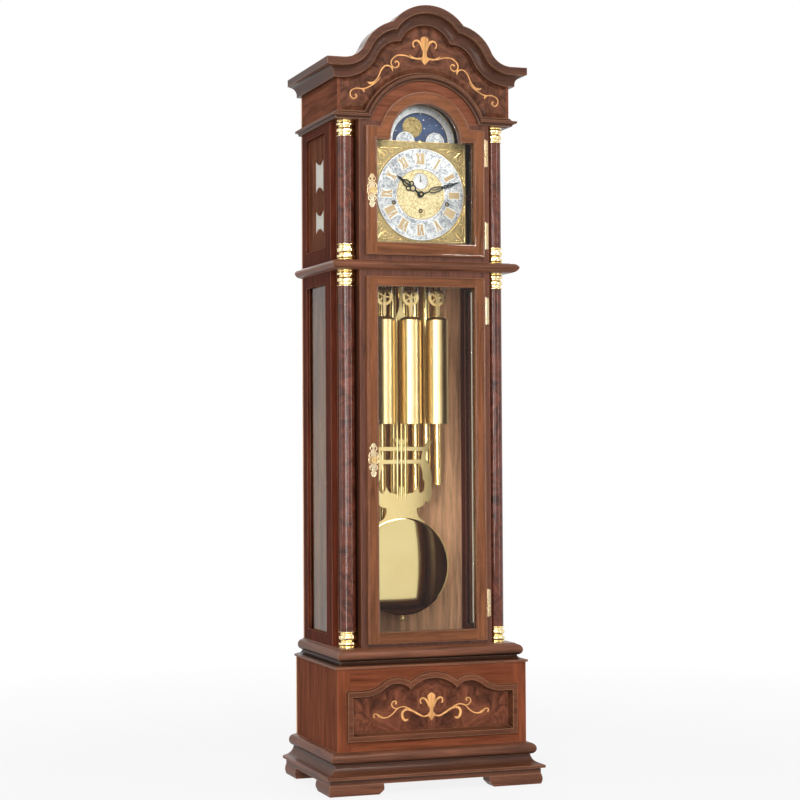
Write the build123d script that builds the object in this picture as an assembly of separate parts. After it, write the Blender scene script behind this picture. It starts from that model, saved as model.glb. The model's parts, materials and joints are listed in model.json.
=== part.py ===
from build123d import *
import math
import os

os.makedirs("parts", exist_ok=True)

# Overall case sizes, in millimetres
case_width = 493.0
trunk_depth = 339.0
base_step = 22.0
base_projection = 41.5
shelf_reach = 40.0
board = 18.0
back_thick = 8.0
clearance = 1.0

# Heights of the storeys of the case, from the floor up
foot_height = 28.0
plinth_height = 83.0
base_height = 215.0
base_cap_height = 51.0
trunk_height = 1010.0
waist_height = 26.0
hood_height = 376.0
cornice_height = 22.0
crown_rise = 136.0
crown_band = 19.5

# Levels, planes and half widths that follow from the sizes
plinth_top = foot_height + plinth_height
base_top = plinth_top + base_height
trunk_bottom = base_top + base_cap_height
trunk_top = trunk_bottom + trunk_height
hood_bottom = trunk_top + waist_height
cornice_bottom = hood_bottom + hood_height
cornice_top = cornice_bottom + cornice_height
crown_level = cornice_top + crown_rise
base_depth = trunk_depth + base_projection
total_depth = base_depth + shelf_reach
case_back = total_depth / 2
trunk_front = case_back - trunk_depth
base_front = case_back - base_depth
case_half = case_width / 2
base_half = case_half + base_step
side_inner = case_half - board
panel_back = case_back - back_thick
moulding_reach = shelf_reach + 30 * clearance

# Bracket feet
foot_reach = 30.0
foot_bulge = -3.5
foot_length = 149.0
foot_nose = 13.0
foot_wall = 48.0
side_foot_front = 118.0
side_foot_back = 100.0

# Moulding profiles as shares of their reach and height: proud, up and sagitta
plinth_shares = ((0.75, 0, 0), (0.75, 0.169, 0), (1, 0.193, 0), (1, 0.277, 0), (0.85, 0.301, 0), (0.2, 0.614, 0.1625),
                 (0.2, 0.976, -0.35), (0, 1, 0))
base_cap_shares = ((0, 0, 0), (0.227, 0.039, 0), (0.227, 0.137, 0), (-0.273, 0.196, 0), (-0.818, 0.373, 0.136),
                   (-0.818, 0.941, -0.59), (-1.023, 1, 0))
waist_reach = 21.5
waist_shares = ((0.279, 0, 0), (0.326, 0.038, 0), (0.93, 0.385, -0.093), (1, 0.538, 0), (0.14, 0.923, -0.186), (0, 1, 0))
cornice_reach = 18.0
cornice_shares = ((0.389, 0, 0), (0.444, 0.023, 0), (0.889, 0.318, 0.167), (1, 0.409, 0), (1, 0.636, 0),
                  (0.222, 0.909, 0.139), (0.222, 1, 0))

# Room inside the mouldings that ring the trunk
ring_margin = 28.5
ring_front_margin = 48.0
ring_back_margin = 30.0

# Corner notches, columns and capitals
notch_width = 60.0
notch_depth = 68.0
frame_half = case_half - notch_width
notch_back = trunk_front + notch_depth
post_thick = 18.0
frame_thick = 20.0
column_inset = 34.0
column_setback = 36.0
column_radius = 22.0
capital_height = 43.0
capital_radius = 26.0
spigot_radius = 7.0
spigot_length = 12.0
lip_share = 0.96
capital_shares = ((0.05, 1.0, 0.04), (0.1, 0.9, 0), (0.32, 0.97, -0.05), (0.36, 0.76, 0), (0.42, 0.76, 0),
                  (0.74, 0.94, -0.1), (0.78, 0.8, 0), (0.82, 0.8, 0), (0.97, 0.98, 0.07), (1.0, 0.98, 0))

# Doors
door_margin = 16.5
door_half = frame_half - door_margin
door_proud = 11.0
door_lap = 10.0
door_lip_gap = 1.5
door_thick = 22.0
door_gap = 0.5
stile_width = 31.0
glass_half = door_half - stile_width
glass_thick = 4.0
glass_lap = 6.0
glass_setback = 8.0
trunk_door_foot = 10.0
trunk_door_head = 17.5
trunk_rail_low = 30.0
trunk_rail_high = 25.5
trunk_door_bottom = trunk_bottom + trunk_door_foot
trunk_door_top = trunk_top - trunk_door_head
trunk_glass_bottom = trunk_door_bottom + trunk_rail_low
trunk_glass_top = trunk_door_top - trunk_rail_high
hood_door_foot = 14.0
hood_door_head = 16.0
hood_rail_low = 34.0
hood_door_bottom = hood_bottom + hood_door_foot
hood_door_shoulder = cornice_bottom - hood_door_head
hood_glass_bottom = hood_door_bottom + hood_rail_low
arch_drop = 35.0
arch_level = hood_door_shoulder - arch_drop
glass_arch_inset = 38.0
arch_rail = 32.0
cornice_arch_gap = 30.0
glass_arch_radius = glass_half - glass_arch_inset
door_arch_radius = glass_arch_radius + arch_rail
opening_arch_radius = door_arch_radius - door_lap
cornice_arch_radius = door_arch_radius + cornice_arch_gap

# Door hinges
hinge_offset = 4.0
hinge_axis_proud = 5.0
hinge_knuckle = 3.2
case_knuckle = 3.8
hinge_pin = 1.8
hinge_bore = 2.1
hinge_leaf = 1.4
hinge_leaf_width = 10.0
hinge_height = 72.0
finial_radius = 2.6
hood_hinge_insets = (59.0, 61.0)
trunk_hinge_insets = (99.0, 88.5)
hood_hinge_levels = (hood_door_bottom + hood_hinge_insets[0], hood_door_shoulder - hood_hinge_insets[1])
trunk_hinge_levels = (trunk_door_bottom + trunk_hinge_insets[0], trunk_door_top - trunk_hinge_insets[1])

# Key plates and keys
key_inset = 16.0
key_plate_x = key_inset - door_half
key_plate_thick = 2.0
key_plate_half = 45.0
key_plate_wide = 18.0
plate_shares = ((0.14, 1.0, 0), (0.3, 0.78, 0.11), (0.12, 0.55, -0.08), (0.4, 0.2, 0.17), (0.4, -0.2, 0.17),
                (0.12, -0.55, 0.17), (0.3, -0.78, -0.08), (0.14, -1.0, 0.11))
trunk_key_height = 490.0
trunk_key_level = trunk_door_bottom + trunk_key_height
key_shank = 2.0
key_hole = 2.4
key_reach = 12.0
key_bow = 9.0
key_bow_hole = 5.0
key_bow_thick = 3.0
key_depth = 11.0

# Side windows of the trunk and frets of the hood
window_front_margin = 49.0
window_back_margin = 46.0
trunk_window_rails = (30.0, 32.0)
hood_window_rails = (42.0, 21.0)
trunk_window = (trunk_bottom + trunk_window_rails[0], trunk_top - trunk_window_rails[1])
hood_window = (hood_bottom + hood_window_rails[0], cornice_bottom - hood_window_rails[1])
window_rabbet = 5.0
side_glass_thick = 3.0
fret_thick = 7.0
cloth_thick = 1.5
fret_opening_half = 46.0
fret_rails = (29.0, 46.0)
fret_opening = (hood_window[0] + fret_rails[0], hood_window[1] - fret_rails[1])
fret_waist_rise = 106.0
fret_waist = fret_opening[0] + fret_waist_rise
fret_tooth = 30.0
fret_bridge = 10.0
fret_diamond = 34.0
fret_curve = 3.0

# Swan line of the crown: radii and centres of its arcs
apex_circle = 126.0
apex_rise = 27.0
shoulder_circle = 117.5
shoulder_inset = 172.8
shoulder_drop = 11.2
crown_sweep = 65.0
crown_apex = (apex_circle, crown_level + apex_rise)
crown_shoulder = (shoulder_circle, case_half - shoulder_inset, crown_level - shoulder_drop)
crown_step_one = 21.0
crown_cove_proud = 34.0
crown_cove_low = 44.0
crown_bead_proud = 13.0
crown_end = 49.0
crown_proud = 39.5
crown_cove_sag = 6.5
frieze_bevel = 10.0
frieze_panel_thick = 7.0
frieze_panel_margin = 7.5
frieze_panel_gap = 2.5
frieze_panel_half = case_half - frieze_panel_margin
frieze_panel_low = cornice_top + frieze_panel_gap
frieze_panel_inset = 50.0
frieze_arch_gap = 1.0

# Swan line of the panel on the base
panel_apex_circle = 104.4
panel_apex_drop = 61.4
panel_shoulder_circle = 66.0
panel_shoulder_inset = 164.5
panel_shoulder_drop = 34.0
panel_sweep = 79.4
panel_head = 59.0
panel_sill = 26.0
panel_margin = 28.5
panel_level = base_top - panel_head
panel_low = plinth_top + panel_sill
panel_half = base_half - panel_margin
panel_apex = (panel_apex_circle, panel_level - panel_apex_drop)
panel_shoulder = (panel_shoulder_circle, base_half - panel_shoulder_inset, panel_level - panel_shoulder_drop)
panel_proud = 10.0
panel_recess = 12.0
panel_thick = 6.0
panel_lip = 4.0
panel_tongue = 2.0
panel_crest = 13.0
panel_foot = 20.0

# Dial
dial_setback = 34.5
dial_margin = 7.0
dial_foot_margin = 5.0
dial_shoulder_rise = 3.0
dial_arch_margin = 1.0
dial_thick = 2.0
dial_face = trunk_front + dial_setback
dial_half = glass_half - dial_margin
dial_low = hood_glass_bottom + dial_foot_margin
dial_level = dial_low + dial_half
dial_shoulder = arch_level + dial_shoulder_rise
dial_arch_radius = glass_arch_radius - dial_arch_margin
hood_key_level = dial_level
ring_edge = 6.0
ring_width = 58.0
ring_radius = dial_half - ring_edge
ring_hole = ring_radius - ring_width
ring_thick = 1.2
disc_thick = 0.8
seconds_offset = 36.0
seconds_radius = 22.0
moon_band_width = 20.0
moon_window_radius = dial_arch_radius - moon_band_width
hump_radius = 27.0
hump_inset = 37.0
hump_offset = moon_window_radius - hump_inset
moon_overlap = 12.0
moon_disc_radius = moon_window_radius + moon_overlap
moon_disc_thick = 1.0
moon_gap = 1.5
moon_pivot = 3.0
moon_pivot_gap = 0.4

# Movement plates, their pillars and the feet of the dial
seat_thick = 18.0
seat_margin = 6.0
seat_top = hood_bottom + seat_thick
plate_margin = 20.0
plate_height = 269.0
movement_gap = 31.0
plate_distance = 103.0
plate_thick = 3.0
plate_half = dial_half - plate_margin
plate_bottom = seat_top
plate_top = plate_bottom + plate_height
front_plate = dial_face + movement_gap
back_plate = front_plate + plate_distance
pillar_radius = 5.0
pillar_inset = 6.0
pillar_insets = (13.0, 12.0)
pillar_x = plate_half - pillar_inset
pillar_levels = (plate_bottom + pillar_insets[0], plate_top - pillar_insets[1])
dial_foot_radius = 4.0
dial_foot_inset = 8.0
dial_foot_insets = (74.0, 40.0)
dial_foot_x = plate_half - dial_foot_inset
dial_foot_levels = (plate_bottom + dial_foot_insets[0], plate_top - dial_foot_insets[1])
pivot_gap = 0.4

# Barrels, cables, pulleys and weights
weight_setback = 55.5
weight_plane = front_plate + weight_setback
weight_pitch = 77.0
barrel_drop_side = 24.5
barrel_drop_middle = 45.0
barrel_radius = 20.5
barrel_flange = 25.0
flange_thick = 2.5
barrel_length = 34.0
cable_radius = 1.2
cable_offset = 22.0
cable_button = 5.0
cable_room = 4.0
winding_arbor = 2.6
winding_hole = 5.0
pulley_hang = 89.0
pulley_level = hood_bottom - pulley_hang
pulley_width = 6.0
pulley_rim = 24.0
pulley_groove = 20.5
pulley_slot = 1.6
pulley_ring = 16.5
pulley_hub = 5.5
pulley_spokes = 5
pulley_spoke = 3.4
axle_radius = 2.0
axle_gap = 0.3
stirrup_width = 9.0
stirrup_thick = 1.5
stirrup_gap = 4.6
stirrup_drop = 50.0
weight_hang = 63.0
weight_length = 286.0
weight_top = pulley_level - weight_hang
weight_bottom = weight_top - weight_length
weight_radius = 31.0
weight_cap = 9.0
weight_neck = 4.0

# Going train: teeth, modules and layers
centre_teeth = 64
third_teeth = 60
train_pinion = 8
centre_module = 0.9
third_module = 0.8
cannon_teeth = 12
minute_teeth = 36
minute_pinion = 8
hour_teeth = 32
motion_module = 0.8
hour_module = 0.96
motion_angle = -30.0
wheel_thick = 2.5
pinion_thick = 6.0
arbor_radius = 1.6
escape_teeth = 30
escape_radius = 24.0
escape_root_share = 0.8
escape_lean = 7.0
escape_tip = 1.6
centre_depth = 12.0
third_depth = 30.0
escape_depth = 48.0
cannon_reach = 6.0
hour_reach = 14.0
centre_layer = front_plate + centre_depth
third_layer = front_plate + third_depth
escape_layer = front_plate + escape_depth
cannon_layer = front_plate - cannon_reach
hour_layer = front_plate - hour_reach
pipe_radius = 3.0
hour_pipe_bore = 3.4
hour_pipe_radius = 4.6
wheel_share = (0.42, 0.4, 0.12)
wheel_depth_share = (1.05, 1.35)
pinion_share = (0.24, 0.36, 0.16)
pinion_depth_share = (0.75, 1.45)
spoke_ring_share = 0.78
spoke_hub_share = 0.26
spoke_width_share = 0.09
spokes = 5

# Anchor, crutch and the cock that carries the pendulum
pendulum_rise = 70.0
pendulum_setback = 37.5
pendulum_level = dial_level + pendulum_rise
pendulum_plane = back_plate + pendulum_setback
pallet_gap = 2.6
pallet_width = 2.5
pallet_length = 4.0
pallet_angle = 45.0
anchor_arm = 4.0
crutch_gap = 6.0
crutch_length = 88.0
crutch_plane = back_plate + crutch_gap
crutch_end = pendulum_level - crutch_length
crutch_width = 6.0
crutch_thick = 2.0
crutch_pin = 1.5
stud_radius = 2.5
stud_gap = 0.3
stud_overrun = 8.0
stud_end = pendulum_plane + stud_overrun
cock_width = 18.0
cock_thick = 6.0
cock_rise = 24.0
cock_reach = 18.0
cock_level = pendulum_level + cock_rise
cock_front = back_plate + cock_reach

# Pendulum: leader, plate, rods, lyre and bob
pendulum_length = 1090.0
bob_level = pendulum_level - pendulum_length
hanger_half = 7.0
hanger_thick = 6.0
leader_width = 12.0
leader_thick = 3.0
leader_length = 338.0
leader_end = pendulum_level - leader_length
slot_gap = 0.2
plate_lap = 10.0
plate_drop = 75.0
plate_apex = leader_end + plate_lap
plate_base = plate_apex - plate_drop
plate_base_half = 21.0
plate_tip_half = 5.0
plate_flare = 8.0
rod_pitch = 12.0
rod_radius = 3.4
lyre_thick = 4.0
lyre_half = 88.0
lyre_foot = 118.0
lyre_height = 252.0
lyre_low = bob_level + lyre_foot
rod_end_share = 0.3
lyre_bar_shares = (0.69, 0.833)
lyre_bar_reach_share = 0.76
lyre_bar_width = 11.0
lyre_shares = ((0, 0, 0), (0.76, 0, 0), (0.76, 0.03, 0), (0.52, 0.18, 0.1), (0.8, 0.25, -0.06), (0.9, 0.225, 0.03),
               (1, 0.42, -0.06), (0.82, 0.72, -0.08), (0.9, 0.83, 0.03), (1.06, 0.93, 0), (0.92, 0.9, 0),
               (0.98, 1, 0), (0.72, 0.83, 0.02), (0.66, 0.72, 0), (0.62, 0.66, 0.04), (0.72, 0.5, 0.03),
               (0.76, 0.4, 0.04), (0.62, 0.34, 0.05), (0.52, 0.42, 0.015), (0.4, 0.35, 0.015), (0.12, 0.33, 0),
               (0.1, 0.41, 0.03), (0, 0.43, 0.02))
finial_shares = ((0.08, 0.8, 0), (0.06, 0.87, -0.02), (0.2, 0.91, 0.02), (0.2, 0.95, 0), (0.08, 0.93, -0.02), (0, 0.96, 0))
bob_radius = 136.0
bob_depth = 17.0
bob_rim = 3.0
nut_radius = 7.0
nut_height = 10.0
nut_drop = 150.0
nut_level = bob_level - nut_drop
screw_radius = 2.5

# Tubular bells, their rack and the hammers
tube_count = 9
tube_pitch = 33.3
tube_setback = 59.0
tube_plane = panel_back - tube_setback
tube_radius = 11.5
tube_wall = 2.0
tube_rise = 187.0
tube_top = hood_bottom + tube_rise
tube_length = 797.0
tube_step = 36.0
tube_pin = 1.8
tube_pin_reach = 16.0
rack_height = 30.0
rack_drop = 14.0
hammer_drop = 60.0
hammer_bar = 10.0
hammer_radius = 6.0
hammer_length = 16.0
hammer_rod = 1.5
hammer_gap = 3.0

# Hands
minute_hand_margin = 8.0
hour_hand_lap = 16.0
second_hand_margin = 5.0
minute_length = ring_radius - minute_hand_margin
hour_length = ring_hole + hour_hand_lap
second_length = seconds_radius - second_hand_margin
hand_thick = 1.2
hand_width = 5.0
hand_hub = 8.0
minute_angle = 72.0
hour_angle = 306.0
second_angle = 0.0
hour_hand_gap = 4.5
minute_hand_gap = 8.0
second_hand_gap = 3.0
hour_hand_face = dial_face - hour_hand_gap
minute_hand_face = dial_face - minute_hand_gap
second_hand_face = dial_face - second_hand_gap
link_shares = ((0.28, 1.0), (0.46, 0.8), (0.62, 0.7))


def span(low, high):
    """Block between two corners."""
    sizes = [b - a for a, b in zip(low, high)]
    return Pos(*low) * Box(*sizes, align=(Align.MIN, Align.MIN, Align.MIN))


def face_of(start, *steps):
    """Closed face from straight steps (x, y) and bowed steps (x, y, sagitta)."""
    edges = []
    here = start
    for step in steps:
        there = step[:2]
        bowed = len(step) > 2 and step[2] != 0
        edges.append(SagittaArc(here, there, step[2]) if bowed else Line(here, there))
        here = there
    if here != start:
        edges.append(Line(here, start))
    return make_face(edges)


def front_plate_of(face, near, far):
    """Face drawn in x and z, made solid from the y of its near side to the y of its far side."""
    return extrude(Plane.XZ.offset(-far) * face, far - near)


def side_plate_of(face, low, high):
    """Face drawn in y and z, made solid between two x values."""
    return extrude(Plane.YZ.offset(low) * face, high - low)


def both(part):
    """The part and its mirror image on the other side of the case."""
    return part + mirror(part, about=Plane.YZ)


def turned(profile, x, y):
    """Upright turning from a face drawn in radius and height."""
    return Pos(x, y, 0) * revolve(Plane.XZ * profile, Axis.Z)


def disc(radius, x, z, near, far):
    """Round plate or bar that lies along y."""
    return Pos(x, far, z) * (Rot(X=90) * Cylinder(radius, far - near, align=(Align.CENTER, Align.CENTER, Align.MIN)))


def upright(radius, x, y, low, high):
    """Round upright bar."""
    return Pos(x, y, low) * Cylinder(radius, high - low, align=(Align.CENTER, Align.CENTER, Align.MIN))


def wrapped_block(start, steps, half_width, front):
    """Solid block whose front and sides follow a moulding profile of (proud, height) steps."""
    low = start[1]
    high = steps[-1][1]
    across = [(half_width + s[0], *s[1:]) for s in steps]
    half = face_of((0, low), (half_width + start[0], low), *across, (0, high))
    near = front - moulding_reach
    widths = both(front_plate_of(half, near, case_back))
    deep = [(front - s[0], s[1], -s[2] if len(s) > 2 else 0) for s in steps]
    side = face_of((case_back, low), (front - start[0], low), *deep, (case_back, high))
    reach = half_width + moulding_reach
    return widths & side_plate_of(side, -reach, reach)


def profile(shares, reach, low, height):
    """Steps of a moulding profile, from shares of its reach and height."""
    return [(reach * proud, low + height * up, reach * sagitta) for proud, up, sagitta in shares]


def ring_of(shares, reach, low, height, half_width, front):
    """Moulding block that runs round the front and the two sides."""
    start, *steps = profile(shares, reach, low, height)
    return wrapped_block(start[:2], steps, half_width, front)


def on_circle(centre, a, b):
    """Middle of the arc from a to b about a centre."""
    half = [(p + q) / 2 - c for p, q, c in zip(a, b, centre)]
    grow = math.dist(centre, a) / math.hypot(*half)
    return (centre[0] + half[0] * grow, centre[1] + half[1] * grow)


def arc_sagitta(centre, a, b):
    """Sagitta of that arc, positive to the left of the way from a to b."""
    middle = on_circle(centre, a, b)
    chord = (b[0] - a[0], b[1] - a[1])
    away = (middle[0] - (a[0] + b[0]) / 2, middle[1] - (a[1] + b[1]) / 2)
    return (chord[0] * away[1] - chord[1] * away[0]) / math.hypot(*chord)


def swan_points(apex, shoulder, sweep, level, inset, reach):
    """Points of the right half of a swan line set in by an inset, from its end to its top."""
    apex_radius, apex_z = apex
    shoulder_radius, shoulder_x, shoulder_z = shoulder
    rise = level + sweep - shoulder_z
    sweep_x = shoulder_x + math.sqrt((shoulder_radius + sweep) ** 2 - rise ** 2)
    sweep_centre = (sweep_x, level + sweep)
    outer = sweep + inset
    share = (shoulder_radius - inset) / (shoulder_radius + sweep)
    meet = (shoulder_x + (sweep_x - shoulder_x) * share, shoulder_z + rise * share)
    gap = math.hypot(shoulder_x, shoulder_z - apex_z)
    inner_apex = apex_radius - inset
    inner_shoulder = shoulder_radius - inset
    along = (gap ** 2 + inner_apex ** 2 - inner_shoulder ** 2) / (2 * gap)
    off = math.sqrt(inner_apex ** 2 - along ** 2)
    ux, uz = shoulder_x / gap, (shoulder_z - apex_z) / gap
    kink = (along * ux - off * uz, apex_z + along * uz + off * ux)
    top = (0, apex_z + inner_apex)
    if reach > sweep_x:
        first = (sweep_x, level - inset)
        flat = [(reach, level - inset)]
    else:
        first = (reach, sweep_centre[1] - math.sqrt(outer ** 2 - (sweep_x - reach) ** 2))
        flat = []
    arcs = [(sweep_centre, first, meet), ((shoulder_x, shoulder_z), meet, kink), ((0, apex_z), kink, top)]
    return flat, first, arcs


def swan_steps(apex, shoulder, sweep, level, inset, reach):
    """Steps of a whole swan line from its right end to its left end."""
    flat, first, arcs = swan_points(apex, shoulder, sweep, level, inset, reach)
    right = [*flat, first]
    right += [(*b, arc_sagitta(c, a, b)) for c, a, b in arcs]
    left = [(-a[0], a[1], arc_sagitta(c, a, b)) for c, a, b in reversed(arcs)]
    left += [(-x, z) for x, z in flat]
    return right + left


def swan_face(line, inset, reach, low):
    """Face under a swan line, down to a level edge."""
    steps = swan_steps(*line, inset, reach)
    return face_of((reach, low), *steps, (-reach, low))


def arc_run(profile, centre, radius, inward, start, turn):
    """Moulding profile turned about a centre in the front plane, from a start angle in degrees."""
    angle = math.radians(start)
    radial = (math.cos(angle), 0, math.sin(angle))
    along = Vector(*[inward * r for r in radial])
    origin = (centre[0] + radius * radial[0], trunk_front, centre[1] + radius * radial[2])
    plane = Plane(origin=origin, x_dir=along, z_dir=along.cross(Vector(0, -1, 0)))
    axis = Axis((centre[0], trunk_front, centre[1]), (0, -1, 0))
    return revolve(plane * profile, axis, turn)


def angle_of(centre, point):
    """Angle in degrees of a point about a centre."""
    return math.degrees(math.atan2(point[1] - centre[1], point[0] - centre[0]))


def frame_with_window(outer, window):
    """Rectangular face with a rectangular window, each as ((low, low), (high, high))."""
    faces = []
    for low, high in (outer, window):
        faces.append(face_of(low, (high[0], low[1]), high, (low[0], high[1])))
    return faces[0] - faces[1]


def arched_face(half, low, shoulder, radius):
    """Door shape with a round arch that rises from level shoulders."""
    edge = math.sqrt(radius ** 2 - (shoulder - arch_level) ** 2)
    top = arch_level + radius
    sag = arc_sagitta((0, arch_level), (edge, shoulder), (0, top))
    return face_of((half, low), (half, shoulder), (edge, shoulder), (0, top, sag),
                   (-edge, shoulder, sag), (-half, shoulder), (-half, low))


# Bracket feet under the four corners
foot_block = wrapped_block((foot_reach, 0), [(foot_reach, foot_height, foot_bulge)], base_half, base_front)
foot_void = span((foot_wall - base_half - foot_reach, base_front - foot_reach + foot_wall, 0),
                 (base_half + foot_reach - foot_wall, case_back, foot_height))
front_gap_half = base_half + foot_reach - foot_length
front_gap = face_of((front_gap_half + foot_nose, 0), (front_gap_half, foot_nose), (front_gap_half, foot_height),
                    (-front_gap_half, foot_height), (-front_gap_half, foot_nose), (-front_gap_half - foot_nose, 0))
side_gap_front = base_front - foot_reach + side_foot_front
side_gap_back = case_back - side_foot_back
side_gap = face_of((side_gap_front - foot_nose, 0), (side_gap_back, 0),
                   (side_gap_back, foot_height), (side_gap_front, foot_height), (side_gap_front, foot_nose))
foot_span = base_half + moulding_reach
bracket_feet = foot_block - foot_void
bracket_feet -= front_plate_of(front_gap, base_front - moulding_reach, side_gap_front)
bracket_feet -= side_plate_of(side_gap, -foot_span, foot_span)

# Plinth moulding: fascia, shelf, cove and torus round the base
base_hollow = span((-base_half, base_front, 0), (base_half, case_back, trunk_bottom))
plinth_moulding = ring_of(plinth_shares, shelf_reach, foot_height, plinth_height, base_half, base_front) - base_hollow

# Base box: sides, front board with the swan opening, and floor
panel_line = (panel_apex, panel_shoulder, panel_sweep, panel_level)
base_side = span((base_half - board, base_front + board, foot_height), (base_half, panel_back, base_top))
base_sides = both(base_side)
base_board = face_of((base_half, foot_height), (base_half, base_top), (-base_half, base_top), (-base_half, foot_height))
opening_half = panel_half - panel_tongue
opening_face = swan_face(panel_line, panel_tongue, opening_half, panel_low + panel_tongue)
base_front_board = front_plate_of(base_board - opening_face, base_front, base_front + board)
base_floor = span((board - base_half, base_front + board, foot_height), (base_half - board, panel_back, foot_height + board))


def panel_face(inset):
    """Outline of the base panel set in by an inset."""
    return swan_face(panel_line, inset, panel_half - inset, panel_low + inset)


def panel_taper(inset_back, y_back, inset_front, y_front):
    """Solid between two panel outlines at two depths."""
    back = Plane.XZ.offset(-y_back) * panel_face(inset_back)
    front = Plane.XZ.offset(-y_front) * panel_face(inset_front)
    return loft([back.faces()[0], front.faces()[0]], ruled=True)


# Raised swan moulding on the base, and the burl panel behind it
panel_crest_y = base_front - panel_proud
panel_floor_y = base_front + panel_recess
base_panel_moulding = panel_taper(-panel_lip, base_front, 0, panel_crest_y)
base_panel_moulding += front_plate_of(panel_face(panel_tongue), base_front, panel_floor_y)
base_panel_moulding -= panel_taper(panel_foot, panel_floor_y, panel_crest, panel_crest_y)
base_burl_panel = front_plate_of(panel_face(panel_tongue), panel_floor_y, panel_floor_y + panel_thick)

# Shelf, cove and torus between the base and the trunk
ring_low = (ring_margin - side_inner, trunk_front + ring_front_margin)
ring_high = (side_inner - ring_margin, case_back - ring_back_margin)
ring_void = span((*ring_low, base_top), (*ring_high, hood_bottom))
base_top_moulding = ring_of(base_cap_shares, base_step, base_top, base_cap_height, base_half, base_front) - ring_void
base_top_moulding -= span((-case_half, panel_back, base_top), (case_half, case_back, trunk_bottom))

# Trunk sides with window rabbets, and their glass
window_y = (notch_back + window_front_margin, case_back - window_back_margin)


def side_board(low, high, window):
    """Side board with a window and a rabbet behind it."""
    outer = ((notch_back, low), (panel_back, high))
    inner = ((window_y[0], window[0]), (window_y[1], window[1]))
    wide = ((window_y[0] - window_rabbet, window[0] - window_rabbet),
            (window_y[1] + window_rabbet, window[1] + window_rabbet))
    face = frame_with_window(outer, inner)
    inside = frame_with_window(outer, wide)
    half = side_inner + board / 2
    return side_plate_of(face, half, case_half) + side_plate_of(inside, side_inner, half)


def window_filler(window, thick):
    """Sheet that fills the rabbet of a side window."""
    low = (window_y[0] - window_rabbet, window[0] - window_rabbet)
    high = (window_y[1] + window_rabbet, window[1] + window_rabbet)
    half = side_inner + board / 2
    return span((half - thick, *low), (half, *high))


trunk_side_frames = both(side_board(trunk_bottom, trunk_top, trunk_window))
trunk_side_glass = both(window_filler(trunk_window, side_glass_thick))

# Hood sides with their fretted panels and the cloth behind them
hood_side_frames = both(side_board(hood_bottom, cornice_bottom, hood_window))
fret_centre = sum(window_y) / 2


def fret_opening_face(low, high, low_point, high_point):
    """Fret opening with a point rising from below and a point hanging from above."""
    left = fret_centre - fret_opening_half
    right = fret_centre + fret_opening_half
    return face_of((left, low), (fret_centre, low + low_point, fret_curve), (right, low, fret_curve), (right, high),
                   (fret_centre, high - high_point, fret_curve), (left, high, fret_curve))


fret_board = window_filler(hood_window, fret_thick)
fret_lower = fret_opening_face(fret_opening[0], fret_waist - fret_bridge / 2, fret_tooth, fret_diamond)
fret_upper = fret_opening_face(fret_waist + fret_bridge / 2, fret_opening[1], fret_diamond, fret_tooth)
fret_cut = side_plate_of(fret_lower, side_inner, case_half) + side_plate_of(fret_upper, side_inner, case_half)
hood_side_frets = both(fret_board - fret_cut)
cloth_face = side_inner + board / 2 - fret_thick
cloth_low = (fret_centre - fret_opening_half - window_rabbet, fret_opening[0] - window_rabbet)
cloth_high = (fret_centre + fret_opening_half + window_rabbet, fret_opening[1] + window_rabbet)
hood_side_cloths = both(span((cloth_face - cloth_thick, *cloth_low), (cloth_face, *cloth_high)))

# Corner posts that line the notches behind the columns
post_face = face_of((frame_half - post_thick, trunk_front + frame_thick), (frame_half, trunk_front + frame_thick),
                    (frame_half, notch_back), (side_inner, notch_back), (side_inner, notch_back + post_thick),
                    (frame_half - post_thick, notch_back + post_thick))


def between(face, low, high):
    """Face drawn in x and y, made solid between two heights."""
    return extrude(Plane.XY.offset(low) * face, high - low)


corner_posts = both(between(post_face, trunk_bottom, trunk_top) + between(post_face, hood_bottom, cornice_bottom))

# Front frames round the two door openings
opening_half_width = door_half - door_lap


def sized_face(half, low, high):
    """Rectangle centred on the case."""
    return face_of((half, low), (half, high), (-half, high), (-half, low))


trunk_opening = sized_face(opening_half_width, trunk_door_bottom + door_lap, trunk_door_top - door_lap)
trunk_front_face = sized_face(frame_half, trunk_bottom, trunk_top) - trunk_opening
trunk_front_frame = front_plate_of(trunk_front_face, trunk_front, trunk_front + frame_thick)
hood_opening = arched_face(opening_half_width, hood_door_bottom + door_lap, hood_door_shoulder - door_lap,
                           opening_arch_radius)
hood_front_face = sized_face(frame_half, hood_bottom, cornice_bottom) - hood_opening
hood_front_frame = front_plate_of(hood_front_face, trunk_front, trunk_front + frame_thick)

# Turned columns and the brass capitals at their ends
column_x = case_half - column_inset
column_y = trunk_front + column_setback


def column(low, high):
    """Shaft between two capitals, with a spigot into each."""
    shaft = upright(column_radius, column_x, column_y, low + capital_height, high - capital_height)
    core_low = low + capital_height - spigot_length
    core_high = high - capital_height + spigot_length
    return shaft + upright(spigot_radius, column_x, column_y, core_low, core_high)


def capital(end, inward):
    """Capital whose lip stands at a level and whose neck points to the shaft."""
    top = (capital_radius * lip_share, end)
    steps = [top]
    for along, wide, bow in capital_shares:
        steps.append((capital_radius * wide, end + inward * capital_height * along, inward * capital_radius * bow))
    steps.append((0, end + inward * capital_height))
    cup = turned(face_of((0, end), *steps), column_x, column_y)
    neck = sorted((end + inward * (capital_height - spigot_length), end + inward * capital_height))
    return cup - upright(spigot_radius, column_x, column_y, *neck)


columns = both(column(trunk_bottom, trunk_top) + column(hood_bottom, cornice_bottom))
trunk_capitals = both(capital(trunk_bottom, 1) + capital(trunk_top, -1))
hood_capitals = both(capital(hood_bottom, 1) + capital(cornice_bottom, -1))

# Waist moulding between the trunk and the hood
waist_moulding = ring_of(waist_shares, waist_reach, trunk_top, waist_height, case_half, trunk_front) - ring_void
waist_moulding -= span((-case_half, panel_back, trunk_top), (case_half, case_back, hood_bottom))

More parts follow.
